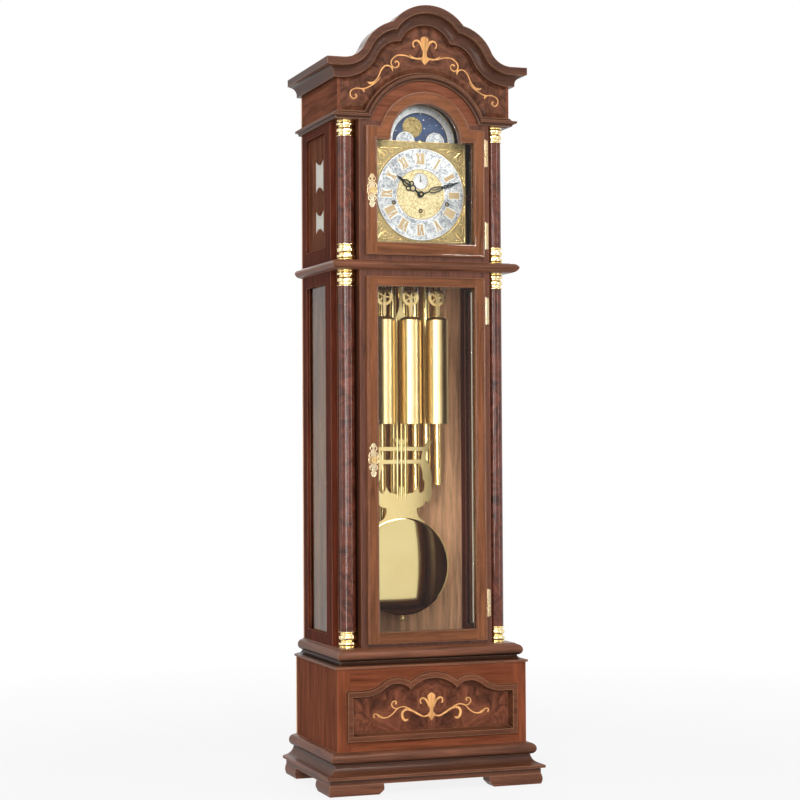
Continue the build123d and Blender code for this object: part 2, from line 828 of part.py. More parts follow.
# Hood cornice with its arch over the dial
cornice_block = ring_of(cornice_shares, cornice_reach, cornice_bottom, cornice_height, case_half, trunk_front)
cornice_block -= span((-case_half, trunk_front, cornice_bottom), (case_half, trunk_front + board, cornice_top))
cornice_block -= span((-frame_half, trunk_front, cornice_bottom), (frame_half, case_back, cornice_top))
cornice_block -= span((-case_half, panel_back, cornice_bottom), (case_half, case_back, cornice_top))
mitre_low = math.sqrt(cornice_arch_radius ** 2 - (cornice_bottom - arch_level) ** 2)
mitre_high = math.sqrt((cornice_arch_radius + cornice_height) ** 2 - (cornice_top - arch_level) ** 2)
mitre_slope = (mitre_high - mitre_low) / cornice_height
mitre_reach = moulding_reach * 3
mitre_bottom = mitre_low - mitre_slope * cornice_height
mitre_top = mitre_high + mitre_slope * mitre_reach
arch_region = face_of((mitre_bottom, cornice_bottom - cornice_height), (mitre_top, cornice_top + mitre_reach),
                      (-mitre_top, cornice_top + mitre_reach), (-mitre_bottom, cornice_bottom - cornice_height))
arch_wedge = front_plate_of(arch_region, trunk_front - moulding_reach, trunk_front)
cornice_steps = profile(cornice_shares, cornice_reach, 0, cornice_height)
arch_profile = face_of((0, 0), *[(up, proud, -sagitta) for proud, up, sagitta in cornice_steps], (cornice_height, 0))
arch_moulding = arc_run(arch_profile, (0, arch_level), cornice_arch_radius, 1, 0, 180) & arch_wedge
hood_cornice = (cornice_block - arch_wedge) + arch_moulding

# Frieze boards above the cornice
crown_line = (crown_apex, crown_shoulder, crown_sweep, crown_level)
frieze_face = swan_face(crown_line, crown_band, case_half, cornice_bottom)
frieze_arch = Pos(0, arch_level) * Circle(opening_arch_radius)
frieze_board = front_plate_of(frieze_face - frieze_arch, trunk_front, trunk_front + board)
frieze_side = span((side_inner, trunk_front + board, cornice_top), (case_half, panel_back, crown_level - crown_band))
frieze_sides = both(frieze_side)


def frieze_outline(inset):
    """Outline of the burl frieze panel set in by an inset."""
    reach = frieze_panel_half - inset
    low = frieze_panel_low + inset
    radius = cornice_arch_radius + cornice_height + frieze_arch_gap + inset
    foot = math.sqrt(radius ** 2 - (low - arch_level) ** 2)
    top = (0, arch_level + radius)
    sag = arc_sagitta((0, arch_level), (-foot, low), top)
    steps = swan_steps(*crown_line, frieze_panel_inset + inset, reach)
    return face_of((reach, low), *steps, (-reach, low), (-foot, low), (*top, sag), (foot, low, sag))


frieze_back = Plane.XZ.offset(-trunk_front) * frieze_outline(0)
frieze_front = Plane.XZ.offset(frieze_panel_thick - trunk_front) * frieze_outline(frieze_bevel)
frieze_panel = loft([frieze_back.faces()[0], frieze_front.faces()[0]], ruled=True)

# Crown moulding: straight returns on the sides and the swan run in front
crown_shape = [(crown_end, 0), (crown_end, crown_bead_proud), (crown_cove_low, crown_bead_proud),
               (crown_step_one, crown_cove_proud, crown_cove_sag), (crown_band, crown_cove_proud),
               (crown_band, crown_proud), (0, crown_proud)]
crown_steps = [(s[1], crown_level - s[0], *s[2:]) for s in crown_shape[1:]]
crown_block = wrapped_block((0, crown_level - crown_end), crown_steps, case_half, trunk_front)
crown_under = span((-case_half, trunk_front, cornice_top), (case_half, case_back, crown_level - crown_band))
crown_open = span((-side_inner, trunk_front + board, cornice_top), (side_inner, case_back, crown_level))
sweep_rise = crown_level + crown_sweep - crown_shoulder[2]
sweep_x = crown_shoulder[1] + math.sqrt((crown_shoulder[0] + crown_sweep) ** 2 - sweep_rise ** 2)
crown_middle = span((-sweep_x, trunk_front - moulding_reach, cornice_top), (sweep_x, trunk_front + board, crown_level))
crown_returns = crown_block - crown_under - crown_open - crown_middle
crown_run = front_plate_of(swan_face(crown_line, 0, sweep_x, crown_level - crown_end), trunk_front - crown_proud,
                           trunk_front)
sweep_centre = (sweep_x, crown_level + crown_sweep)
meet_angle = angle_of(crown_shoulder[1:], sweep_centre)


def crown_cutter(far):
    """Face of what the crown profile leaves open, out to an inset."""
    clear = crown_proud + clearance
    return face_of((crown_band, clear), (crown_band, crown_cove_proud), (crown_step_one, crown_cove_proud),
                   (crown_cove_low, crown_bead_proud, -crown_cove_sag), (crown_end, crown_bead_proud),
                   (crown_end, -clearance), (far, -clearance), (far, clear))


crown_run -= arc_run(crown_cutter(crown_apex[0]), (0, crown_apex[1]), crown_apex[0], -1, 0, 360)
shoulder_cut = arc_run(crown_cutter(crown_shoulder[0]), crown_shoulder[1:], crown_shoulder[0], -1, 0, 360)
sweep_cut = arc_run(crown_cutter(case_half), sweep_centre, crown_sweep, 1, 180 + meet_angle, 90 - meet_angle)
crown_run -= both(shoulder_cut + sweep_cut)
cap_face = swan_face(crown_line, 0, sweep_x, crown_level - crown_end)
cap_face -= swan_face(crown_line, crown_band, case_half, crown_level - crown_end * 2)
crown_moulding = crown_returns + crown_run + front_plate_of(cap_face, trunk_front, trunk_front + board)

# Roof board and back panel
roof_level = crown_level - crown_band
roof_board = span((-side_inner, trunk_front + board, roof_level - board / 2), (side_inner, panel_back, roof_level))
back_face = face_of((base_half, foot_height), (base_half, base_top), (case_half, base_top), (case_half, crown_level),
                    (-case_half, crown_level), (-case_half, base_top), (-base_half, base_top), (-base_half, foot_height))
back_panel = front_plate_of(back_face, panel_back, case_back)
crown_moulding -= back_panel

# Seat board that carries the movement
seat_front = front_plate - plate_thick - seat_margin
seat_back = back_plate + plate_thick + seat_margin
seat_board = span((-side_inner, seat_front, hood_bottom), (side_inner, seat_back, seat_top))
cable_slot = cable_offset + cable_room
barrel_side = dial_level - barrel_drop_side
barrel_places = [(-weight_pitch, barrel_side), (0, dial_level - barrel_drop_middle), (weight_pitch, barrel_side)]
for x, level in barrel_places:
    seat_board -= span((x - cable_slot, weight_plane - cable_slot / 3, hood_bottom),
                       (x + cable_slot, weight_plane + cable_slot / 3, seat_top))
seat_board -= corner_posts + both(span((frame_half, trunk_front, hood_bottom), (case_half, notch_back, seat_top)))

# Hinge leaves on the case and on each door
hinge_x = door_half + hinge_offset
hinge_y = trunk_front - hinge_axis_proud


def case_leaf(middle):
    """Leaf on the front frame with the middle knuckle and the pin."""
    low = middle - hinge_height / 2
    high = middle + hinge_height / 2
    third = hinge_height / 6
    leaf = span((hinge_x, trunk_front - hinge_leaf, low), (hinge_x + hinge_leaf_width, trunk_front, high))
    knuckle = upright(case_knuckle, hinge_x, hinge_y, middle - third, middle + third)
    return leaf + knuckle + upright(hinge_pin, hinge_x, hinge_y, low, high)


def door_leaf(middle):
    """Two knuckles with their tabs on the edge of a door."""
    low = middle - hinge_height / 2
    high = middle + hinge_height / 2
    third = hinge_height / 6
    leaf = None
    for start, end, tip in ((low, middle - third - door_gap, low), (middle + third + door_gap, high, high)):
        tab = span((door_half, hinge_y - hinge_knuckle, start), (door_half + hinge_leaf, hinge_y + hinge_knuckle, end))
        knuckle = upright(hinge_knuckle, hinge_x, hinge_y, start, end)
        finial = Pos(hinge_x, hinge_y, tip) * Sphere(finial_radius)
        piece = tab + knuckle - upright(hinge_bore, hinge_x, hinge_y, low, high)
        piece += finial - upright(hinge_bore, hinge_x, hinge_y, low - door_gap, high + door_gap)
        leaf = piece if leaf is None else leaf + piece
    return leaf


hood_hinge_plates = case_leaf(hood_hinge_levels[0]) + case_leaf(hood_hinge_levels[1])
trunk_hinge_plates = case_leaf(trunk_hinge_levels[0]) + case_leaf(trunk_hinge_levels[1])
hood_door_hinges = door_leaf(hood_hinge_levels[0]) + door_leaf(hood_hinge_levels[1])
trunk_door_hinges = door_leaf(trunk_hinge_levels[0]) + door_leaf(trunk_hinge_levels[1])

# Doors with a rebated lip, and the glass that sits behind it
slab_front = trunk_front - door_proud
slab_back = trunk_front - door_gap
lip_back = slab_front + door_thick
lip_inset = door_lap + door_lip_gap


def door_of(slab, lip, sight, rabbet):
    """Door frame: slab in front, lip behind, sight opening and glass rabbet."""
    frame = front_plate_of(slab, slab_front, slab_back) + front_plate_of(lip, slab_back, lip_back)
    frame -= front_plate_of(sight, slab_front, lip_back)
    return frame - front_plate_of(rabbet, slab_front + glass_setback, lip_back)


bead_back = slab_front + glass_setback + glass_thick
trunk_slab = sized_face(door_half, trunk_door_bottom, trunk_door_top)
trunk_lip = sized_face(door_half - lip_inset, trunk_door_bottom + lip_inset, trunk_door_top - lip_inset)
trunk_sight = sized_face(glass_half, trunk_glass_bottom, trunk_glass_top)
trunk_rabbet = sized_face(glass_half + glass_lap, trunk_glass_bottom - glass_lap, trunk_glass_top + glass_lap)
trunk_door_frame = door_of(trunk_slab, trunk_lip, trunk_sight, trunk_rabbet)
trunk_door_glass = front_plate_of(trunk_rabbet, slab_front + glass_setback, bead_back)
trunk_door_bead = front_plate_of(trunk_rabbet - trunk_sight, bead_back, lip_back)

hood_slab = arched_face(door_half, hood_door_bottom, hood_door_shoulder, door_arch_radius)
hood_lip = arched_face(door_half - lip_inset, hood_door_bottom + lip_inset, hood_door_shoulder - lip_inset,
                       door_arch_radius - lip_inset)
hood_sight = arched_face(glass_half, hood_glass_bottom, arch_level, glass_arch_radius)
hood_rabbet = arched_face(glass_half + glass_lap, hood_glass_bottom - glass_lap, arch_level + glass_lap,
                          glass_arch_radius + glass_lap)
hood_door_frame = door_of(hood_slab, hood_lip, hood_sight, hood_rabbet)
hood_door_glass = front_plate_of(hood_rabbet, slab_front + glass_setback, bead_back)
hood_door_bead = front_plate_of(hood_rabbet - hood_sight, bead_back, lip_back)

# Key plates and keys


def key_plate(level):
    """Scrolled plate on the door round the key."""
    points = [(wide * key_plate_wide, high * key_plate_half) for wide, high, _ in plate_shares]
    bows = [bow * key_plate_wide for _, _, bow in plate_shares]
    right = [(key_plate_x + x, level + z, bow) for (x, z), bow in zip(points, bows)]
    left = [(key_plate_x - x, level + z, bow) for (x, z), bow in zip(reversed(points), [0, *bows[:0:-1]])]
    plate = front_plate_of(face_of(right[0][:2], *right[1:], *left), slab_front - key_plate_thick, slab_front)
    return plate - disc(key_hole, key_plate_x, level, slab_front - key_depth, slab_front + key_depth)


def key(level):
    """Key with a pierced bow and a shank that reaches into the lock."""
    end = slab_front + key_depth
    bow_face = slab_front - key_reach
    bow = disc(key_bow, key_plate_x, level, bow_face - key_bow_thick, bow_face)
    bow -= disc(key_bow_hole, key_plate_x, level, bow_face - key_bow_thick, bow_face)
    stem = span((key_plate_x - key_shank / 2, bow_face - key_bow_thick, level - key_bow_hole),
                (key_plate_x + key_shank / 2, bow_face, level + key_bow_hole))
    return bow + stem + disc(key_shank, key_plate_x, level, bow_face - key_bow_thick, end)


hood_key_plate = key_plate(hood_key_level)
trunk_key_plate = key_plate(trunk_key_level)
hood_key = key(hood_key_level)
trunk_key = key(trunk_key_level)
for level in (hood_key_level, trunk_key_level):
    bore = disc(key_hole, key_plate_x, level, slab_front - key_depth, slab_front + key_depth + door_gap)
    hood_door_frame -= bore
    trunk_door_frame -= bore

# Dial plate with its arch, rings and moon window
dial_back = dial_face + dial_thick
seconds_level = dial_level + seconds_offset
dial_outline = face_of((dial_half, dial_low), (dial_half, dial_shoulder), (dial_arch_radius, dial_shoulder),
                       (-dial_arch_radius, dial_shoulder, -dial_arch_radius), (-dial_half, dial_shoulder),
                       (-dial_half, dial_low))
moon_window = face_of((moon_window_radius, dial_shoulder), (-moon_window_radius, dial_shoulder, -moon_window_radius))
for side in (1, -1):
    moon_window -= Pos(side * hump_offset, dial_shoulder) * Circle(hump_radius)
dial_plate = front_plate_of(dial_outline - moon_window, dial_face, dial_back)
hour_hole = hour_pipe_radius + pivot_gap
seconds_hole = arbor_radius + pivot_gap
dial_bores = [(0, dial_level, hour_hole), (0, seconds_level, seconds_hole)]
dial_bores += [(x, level, winding_hole) for x, level in barrel_places]


def bored(part, near, far):
    """Part with the holes for the hands and the winding arbors."""
    for x, z, radius in dial_bores:
        part -= disc(radius, x, z, near, far)
    return part


dial_plate = bored(dial_plate, dial_face, dial_back)
ring_face = dial_face - ring_thick
chapter_ring = front_plate_of(Pos(0, dial_level) * (Circle(ring_radius) - Circle(ring_hole)), ring_face, dial_face)
chapter_ring = bored(chapter_ring, ring_face, dial_face)
disc_face = dial_face - disc_thick
centre_sheet = Pos(0, dial_level) * Circle(ring_hole) - Pos(0, seconds_level) * Circle(seconds_radius)
centre_disc = bored(front_plate_of(centre_sheet, disc_face, dial_face), disc_face, dial_face)
seconds_ring = front_plate_of(Pos(0, seconds_level) * Circle(seconds_radius), ring_face, dial_face)
seconds_ring = bored(seconds_ring, ring_face, dial_face)
band_outer = face_of((dial_arch_radius, dial_shoulder), (-dial_arch_radius, dial_shoulder, -dial_arch_radius))
moon_band = front_plate_of(band_outer - moon_window, ring_face, dial_face)
dial_feet = None
for x in (-dial_foot_x, dial_foot_x):
    for level in dial_foot_levels:
        foot = disc(dial_foot_radius, x, level, dial_back, front_plate)
        dial_feet = foot if dial_feet is None else dial_feet + foot

# Moon disc on a stud behind the arch
moon_near = dial_back + moon_gap
moon_far = moon_near + moon_disc_thick
moon_bore = moon_pivot + moon_pivot_gap
moon_level = dial_shoulder - moon_pivot * 2
moon_disc = disc(moon_disc_radius, 0, moon_level, moon_near, moon_far)
moon_disc -= disc(moon_bore, 0, moon_level, moon_near, moon_far)
dial_plate += disc(moon_pivot, 0, moon_level, dial_back, moon_far + moon_gap)
dial_plate += disc(moon_bore * 2, 0, moon_level, moon_far + moon_gap / 2, moon_far + moon_gap)

# Places of the arbors in the movement
centre_place = (0, dial_level)
escape_place = (0, seconds_level)
centre_third = (centre_teeth + train_pinion) * centre_module / 2
third_escape = (third_teeth + train_pinion) * third_module / 2
third_rise = (centre_third ** 2 - third_escape ** 2 + seconds_offset ** 2) / (2 * seconds_offset)
third_place = (math.sqrt(centre_third ** 2 - third_rise ** 2), dial_level + third_rise)
motion_reach = (cannon_teeth + minute_teeth) * motion_module / 2
motion_turn = math.radians(motion_angle)
minute_place = (motion_reach * math.cos(motion_turn), dial_level + motion_reach * math.sin(motion_turn))


def toothed(teeth, module, low_share, pitch_share, tip_share, height, depth, centre, turn):
    """Wheel outline with straight flanked teeth, one of them centred on the turn angle in degrees."""
    pitch = teeth * module / 2
    radii = (pitch - depth * module, pitch, pitch + height * module)
    widths = (low_share, pitch_share, tip_share)
    step = 2 * math.pi / teeth
    points = []
    for tooth in range(teeth):
        middle = math.radians(turn) + tooth * step
        for index, side in ((0, -1), (1, -1), (2, -1), (2, 1), (1, 1), (0, 1)):
            angle = middle + side * widths[index] * step / 2
            points.append((centre[0] + radii[index] * math.cos(angle), centre[1] + radii[index] * math.sin(angle)))
    return face_of(points[0], *points[1:])


def spoked(teeth, module, centre, turn, near):
    """Wheel with its teeth and open spokes."""
    face = toothed(teeth, module, *wheel_share, *wheel_depth_share, centre, turn)
    outer = teeth * module / 2 * spoke_ring_share
    hub = teeth * module / 2 * spoke_hub_share
    width = teeth * module * spoke_width_share
    ring = Circle(outer) - Circle(hub)
    for index in range(spokes):
        ring -= Rot(Z=index * 360 / spokes) * (Pos(outer / 2, 0) * Rectangle(outer, width))
    return front_plate_of(face - Pos(*centre) * ring, near, near + wheel_thick)


def pinion(teeth, module, centre, turn, near, thick):
    """Small wheel whose teeth are cut from the bar."""
    face = toothed(teeth, module, *pinion_share, *pinion_depth_share, centre, turn)
    return front_plate_of(face, near, near + thick)


def arbor(place, near, far):
    """Arbor that runs between two depths."""
    return disc(arbor_radius, *place, near, far)


plate_inner = front_plate + plate_thick
pivot_end = plate_thick / 2
third_angle = angle_of(centre_place, third_place)
escape_angle = angle_of(third_place, escape_place)
back_third = angle_of(third_place, centre_place)
back_escape = angle_of(escape_place, third_place)
pinion_step = 360 / train_pinion
centre_spread = (pinion_thick - wheel_thick) / 2

# Minute arbor: cannon pinion in front of the plate, centre wheel behind it
minute_arbor = arbor(centre_place, minute_hand_face - hand_thick, back_plate)
minute_arbor += disc(pipe_radius, *centre_place, minute_hand_face, cannon_layer + pinion_thick / 2)
minute_arbor += pinion(cannon_teeth, motion_module, centre_place, motion_angle, cannon_layer, pinion_thick / 2)
minute_arbor += spoked(centre_teeth, centre_module, centre_place, third_angle, centre_layer)
minute_arbor += disc(pipe_radius * 2, *centre_place, centre_layer, centre_layer + pinion_thick)

# Third wheel and its pinion
third_wheel = arbor(third_place, plate_inner - pivot_end, back_plate + pivot_end)
third_turn = back_third + pinion_step / 2
third_wheel += pinion(train_pinion, centre_module, third_place, third_turn, centre_layer - centre_spread, pinion_thick)
third_wheel += spoked(third_teeth, third_module, third_place, escape_angle, third_layer)

# Escape wheel and its pinion, on the arbor that carries the seconds hand
escape_arbor = arbor(escape_place, second_hand_face, back_plate + pivot_end)
escape_turn = back_escape + pinion_step / 2
escape_arbor += pinion(train_pinion, third_module, escape_place, escape_turn, third_layer - centre_spread, pinion_thick)
escape_points = []
for tooth in range(escape_teeth):
    step = 2 * math.pi / escape_teeth
    low = tooth * step
    root = escape_radius * escape_root_share
    for radius, angle in ((root, low), (escape_radius, low + math.radians(escape_lean)),
                          (escape_radius, low + math.radians(escape_lean + escape_tip))):
        escape_points.append((radius * math.cos(angle), seconds_level + radius * math.sin(angle)))
escape_face = face_of(escape_points[0], *escape_points[1:])
escape_ring = Circle(escape_radius * escape_root_share * spoke_ring_share) - Circle(escape_radius * spoke_hub_share)
for index in range(spokes):
    bar = Pos(escape_radius / 2, 0) * Rectangle(escape_radius, escape_radius * spoke_width_share * 2)
    escape_ring -= Rot(Z=index * 360 / spokes) * bar
escape_sheet = escape_face - Pos(*escape_place) * escape_ring
escape_arbor += front_plate_of(escape_sheet, escape_layer, escape_layer + wheel_thick / 2)

# Motion work between the plate and the dial
back_motion = motion_angle + 180
minute_wheel_face = toothed(minute_teeth, motion_module, *wheel_share, *wheel_depth_share, minute_place,
                            back_motion + 180 / minute_teeth)
stud_bore = arbor_radius + axle_gap
minute_wheel = front_plate_of(minute_wheel_face, cannon_layer, cannon_layer + wheel_thick)
minute_wheel += pinion(minute_pinion, hour_module, minute_place, back_motion, hour_layer - pivot_gap,
                       cannon_layer - hour_layer + pivot_gap)
minute_wheel -= disc(stud_bore, *minute_place, hour_layer - pivot_gap, front_plate)
hour_wheel_face = toothed(hour_teeth, hour_module, *wheel_share, *wheel_depth_share, centre_place,
                          motion_angle + 180 / hour_teeth)
hour_wheel = front_plate_of(hour_wheel_face, hour_layer, hour_layer + wheel_thick)
hour_wheel += disc(hour_pipe_radius, *centre_place, hour_hand_face, hour_layer)
hour_wheel -= disc(hour_pipe_bore, *centre_place, hour_hand_face, hour_layer + wheel_thick)

# Movement plates and their pillars, bored for every arbor
plate_sheet = sized_face(plate_half, plate_bottom, plate_top)
movement_front_plate = front_plate_of(plate_sheet, front_plate, plate_inner)
movement_back_plate = front_plate_of(plate_sheet, back_plate, back_plate + plate_thick)
pivot_hole = arbor_radius + axle_gap
winding_bore = winding_arbor + axle_gap
for place in (centre_place, third_place, escape_place, (0, pendulum_level)):
    movement_front_plate -= disc(pivot_hole, *place, front_plate, plate_inner)
    movement_back_plate -= disc(pivot_hole, *place, back_plate, back_plate + plate_thick)
for place in barrel_places:
    movement_front_plate -= disc(winding_bore, *place, front_plate, plate_inner)
    movement_back_plate -= disc(winding_bore, *place, back_plate, back_plate + plate_thick)
movement_front_plate += disc(arbor_radius, *minute_place, hour_layer - pivot_gap, front_plate)
movement_plates = movement_front_plate + movement_back_plate
movement_pillars = None
for x in (-pillar_x, pillar_x):
    for level in pillar_levels:
        post = disc(pillar_radius, x, level, plate_inner, back_plate)
        movement_pillars = post if movement_pillars is None else movement_pillars + post


def cable_top(place):
    """Cable above the seat board: the run to the barrel, and the button on the tied end."""
    x, level = place
    run = upright(cable_radius, x - cable_offset, weight_plane, seat_top, level)
    return run + upright(cable_button, x + cable_offset, weight_plane, seat_top, seat_top + cable_button)


def barrel(place):
    """Cable drum with flanges on its winding arbor, and turns of cable."""
    near = weight_plane - barrel_length / 2
    far = weight_plane + barrel_length / 2
    drum = disc(barrel_radius, *place, near, far)
    for edge in (near - flange_thick, far):
        drum += disc(barrel_flange, *place, edge, edge + flange_thick)
    drum += disc(winding_arbor, *place, dial_face, back_plate + plate_thick / 2)
    return drum - disc(winding_arbor / 2, *place, dial_face, dial_face + winding_arbor)


def pulley(x):
    """Grooved pulley with open spokes."""
    near = weight_plane - pulley_width / 2
    far = weight_plane + pulley_width / 2
    wheel = disc(pulley_rim, x, pulley_level, near, far)
    groove = disc(pulley_rim, x, pulley_level, weight_plane - pulley_slot, weight_plane + pulley_slot)
    wheel -= groove - disc(pulley_groove, x, pulley_level, near, far)
    open_ring = Circle(pulley_ring) - Circle(pulley_hub)
    for index in range(pulley_spokes):
        spoke = Pos(pulley_rim / 2, 0) * Rectangle(pulley_rim, pulley_spoke)
        open_ring -= Rot(Z=index * 360 / pulley_spokes) * spoke
    wheel -= front_plate_of(Pos(x, pulley_level) * open_ring, near, far)
    return wheel - disc(axle_radius + axle_gap, x, pulley_level, near, far)


def weight(x):
    """Capped cylinder on a stirrup that carries the pulley axle."""
    shell = upright(weight_radius, x, weight_plane, weight_bottom, weight_top)
    cap_top = weight_top + weight_cap
    cap = turned(face_of((0, weight_top), (weight_radius, weight_top), (weight_neck, cap_top, -weight_neck),
                         (0, cap_top)), x, weight_plane)
    body = shell + cap
    reach = stirrup_gap + stirrup_thick
    for side in (-1, 1):
        low, high = sorted((weight_plane + side * stirrup_gap, weight_plane + side * reach))
        body += span((x - stirrup_width / 2, low, pulley_level - stirrup_drop),
                     (x + stirrup_width / 2, high, pulley_level + stirrup_width / 2))
    body += span((x - stirrup_width / 2, weight_plane - reach, pulley_level - stirrup_drop),
                 (x + stirrup_width / 2, weight_plane + reach, pulley_level - stirrup_drop + stirrup_width))
    body += upright(weight_neck, x, weight_plane, weight_top, pulley_level - stirrup_drop)
    return body + disc(axle_radius, x, pulley_level, weight_plane - reach, weight_plane + reach)


def cable_loop(x):
    """Half turn of cable under a pulley."""
    circle = Pos(cable_offset, 0) * Circle(cable_radius)
    half = revolve(Plane.XY * circle, Axis.Y, 180)
    return Pos(x, weight_plane, pulley_level) * half


def cable_strands(x):
    """The two upright strands of a cable below the seat board's top."""
    live = upright(cable_radius, x - cable_offset, weight_plane, pulley_level, seat_top)
    return live + upright(cable_radius, x + cable_offset, weight_plane, pulley_level, seat_top)


barrels = [barrel(place) for place in barrel_places]
pulleys = [pulley(place[0]) for place in barrel_places]
weights = [weight(place[0]) for place in barrel_places]
loops = [cable_loop(place[0]) for place in barrel_places]
strands = [cable_strands(place[0]) for place in barrel_places]
cable_tops = cable_top(barrel_places[0]) + cable_top(barrel_places[1]) + cable_top(barrel_places[2])

# Anchor with its crutch
anchor_place = (0, pendulum_level)
anchor_arbor = arbor(anchor_place, front_plate, crutch_plane + crutch_thick)
pallet_radius = escape_radius + pallet_gap
pallet_turn = math.radians(pallet_angle)
pallet_x = pallet_radius * math.sin(pallet_turn)
pallet_z = seconds_level + pallet_radius * math.cos(pallet_turn)
arm_face = face_of((0, pendulum_level + anchor_arm), (-pallet_x - anchor_arm, pallet_z + anchor_arm, anchor_arm),
                   (-pallet_x - anchor_arm, pallet_z - pallet_length),
                   (-pallet_x - pallet_width / 2, pallet_z - pallet_length / 2), (-pallet_x, pallet_z),
                   (0, pendulum_level - anchor_arm, anchor_arm / 2), (pallet_x, pallet_z, anchor_arm / 2),
                   (pallet_x + pallet_width / 2, pallet_z - pallet_length / 2),
                   (pallet_x + anchor_arm, pallet_z - pallet_length),
                   (pallet_x + anchor_arm, pallet_z + anchor_arm), (0, pendulum_level + anchor_arm, anchor_arm))
anchor = anchor_arbor + front_plate_of(arm_face, escape_layer - pivot_end, escape_layer + wheel_thick)
crutch_top = pendulum_level + crutch_width
crutch = span((-crutch_width / 2, crutch_plane, crutch_end), (crutch_width / 2, crutch_plane + crutch_thick, crutch_top))
anchor += crutch + disc(crutch_pin, 0, crutch_end + crutch_width, crutch_plane, pendulum_plane + leader_thick)

# Cock and stud that carry the pendulum
cock_back = cock_front + cock_thick
plate_rear = back_plate + plate_thick
pendulum_cock = span((-cock_width / 2, plate_rear, cock_level - cock_thick), (cock_width / 2, cock_back, cock_level))
pendulum_cock += span((-cock_width / 2, cock_front, pendulum_level - cock_thick), (cock_width / 2, cock_back, cock_level))
pendulum_cock += disc(stud_radius, *anchor_place, cock_back, stud_end)
pendulum_cock += disc(stud_radius * 2, *anchor_place, stud_end, stud_end + stud_gap * 4)

# Pendulum leader with its hanger
hanger = span((-hanger_half, pendulum_plane - hanger_thick / 2, pendulum_level - hanger_half),
              (hanger_half, pendulum_plane + hanger_thick / 2, pendulum_level + hanger_half))
hanger -= disc(stud_radius + stud_gap, *anchor_place, pendulum_plane - hanger_thick, pendulum_plane + hanger_thick)
leader = span((-leader_width / 2, pendulum_plane - leader_thick / 2, leader_end),
              (leader_width / 2, pendulum_plane + leader_thick / 2, pendulum_level - hanger_half))
pin_slot = crutch_pin + slot_gap
leader -= span((-pin_slot, pendulum_plane - leader_thick, crutch_end),
               (pin_slot, pendulum_plane + leader_thick, crutch_end + crutch_width * 2))
pendulum_leader = hanger + leader

# Pendulum plate, rods and lyre
plate_near = pendulum_plane - leader_thick / 2 - lyre_thick
plate_far = pendulum_plane - leader_thick / 2
flared_face = face_of((-plate_base_half, plate_base), (-plate_tip_half, plate_apex, -plate_flare),
                      (plate_tip_half, plate_apex), (plate_base_half, plate_base, -plate_flare))
pendulum_plate = front_plate_of(flared_face, plate_near, plate_far)
rod_plane = plate_far - lyre_thick / 2
rods = None
for x in (-rod_pitch, 0, rod_pitch):
    bar = upright(rod_radius, x, rod_plane, lyre_low + lyre_height * rod_end_share, plate_base + rod_radius)
    rods = bar if rods is None else rods + bar

# Lyre with its scrolled foot plate, two bars and a finial


def lyre_face(shares):
    """Half of a lyre outline from shares of its width and height."""
    steps = [(lyre_half * x, lyre_low + lyre_height * z, lyre_half * bow) for x, z, bow in shares]
    return face_of(steps[0][:2], *steps[1:])


lyre = both(front_plate_of(lyre_face(lyre_shares), plate_near, plate_far))
bar_half = lyre_half * lyre_bar_reach_share
for share in lyre_bar_shares:
    level = lyre_low + lyre_height * share
    lyre += span((-bar_half, plate_near, level - lyre_bar_width / 2), (bar_half, plate_far, level + lyre_bar_width / 2))
finial_foot = (0, lyre_bar_shares[1], 0)
pendulum_lyre = lyre + both(front_plate_of(lyre_face((finial_foot, *finial_shares)), plate_near, plate_far))

# Bob and rating nut
bob_dome = (bob_depth - bob_rim) / 4
bob_back = (bob_depth / 2 - bob_rim) / 4
bob_profile = face_of((0, -bob_depth), (bob_radius, -bob_rim, bob_dome), (bob_radius, bob_rim), (0, bob_depth / 2, bob_back))
bob_turned = revolve(Plane.XY * bob_profile, Axis.Y)
bob_plane = plate_near - bob_rim
pendulum_bob = Pos(0, bob_plane, bob_level) * bob_turned
pendulum_bob -= span((-lyre_half, plate_near, bob_level), (lyre_half, plate_far + bob_depth, bob_level + bob_radius))
rating_nut = upright(screw_radius, 0, bob_plane, nut_level, bob_level - bob_radius + bob_rim)
rating_nut += upright(nut_radius, 0, bob_plane, nut_level, nut_level + nut_height)
rating_nut -= pendulum_bob

# Nine tubes hung from a rack, with a bar of hammers
tube_places = [(index - (tube_count - 1) / 2) * tube_pitch for index in range(tube_count)]
tubes = None
for index, x in enumerate(tube_places):
    bottom = tube_top - tube_length - tube_step * (tube_count - 1 - index)
    bell = upright(tube_radius, x, tube_plane, bottom, tube_top)
    bell -= upright(tube_radius - tube_wall, x, tube_plane, bottom, tube_top)
    bell -= disc(tube_pin, x, tube_top - rack_drop, tube_plane - tube_radius, tube_plane + tube_radius)
    tubes = bell if tubes is None else tubes + bell
rack_near = tube_plane + tube_radius + hammer_gap
tube_rack = span((-side_inner, rack_near, tube_top - rack_height), (side_inner, panel_back, tube_top + rack_drop))
for x in tube_places:
    tube_rack += disc(tube_pin, x, tube_top - rack_drop, tube_plane - tube_pin_reach, rack_near)
hammer_level = tube_top - hammer_drop
hammer_face = tube_plane - tube_radius - hammer_gap
hammer_rail = span((-side_inner, hammer_face - hammer_length - hammer_bar, tube_top + rack_drop),
                   (side_inner, hammer_face - hammer_length, tube_top + rack_drop + hammer_bar))
for x in tube_places:
    hammer_rail += upright(hammer_rod, x, hammer_face - hammer_length - hammer_bar / 2, hammer_level, tube_top + rack_drop)
    hammer_rail += disc(hammer_radius, x, hammer_level, hammer_face - hammer_length - hammer_bar, hammer_face)

# Hands

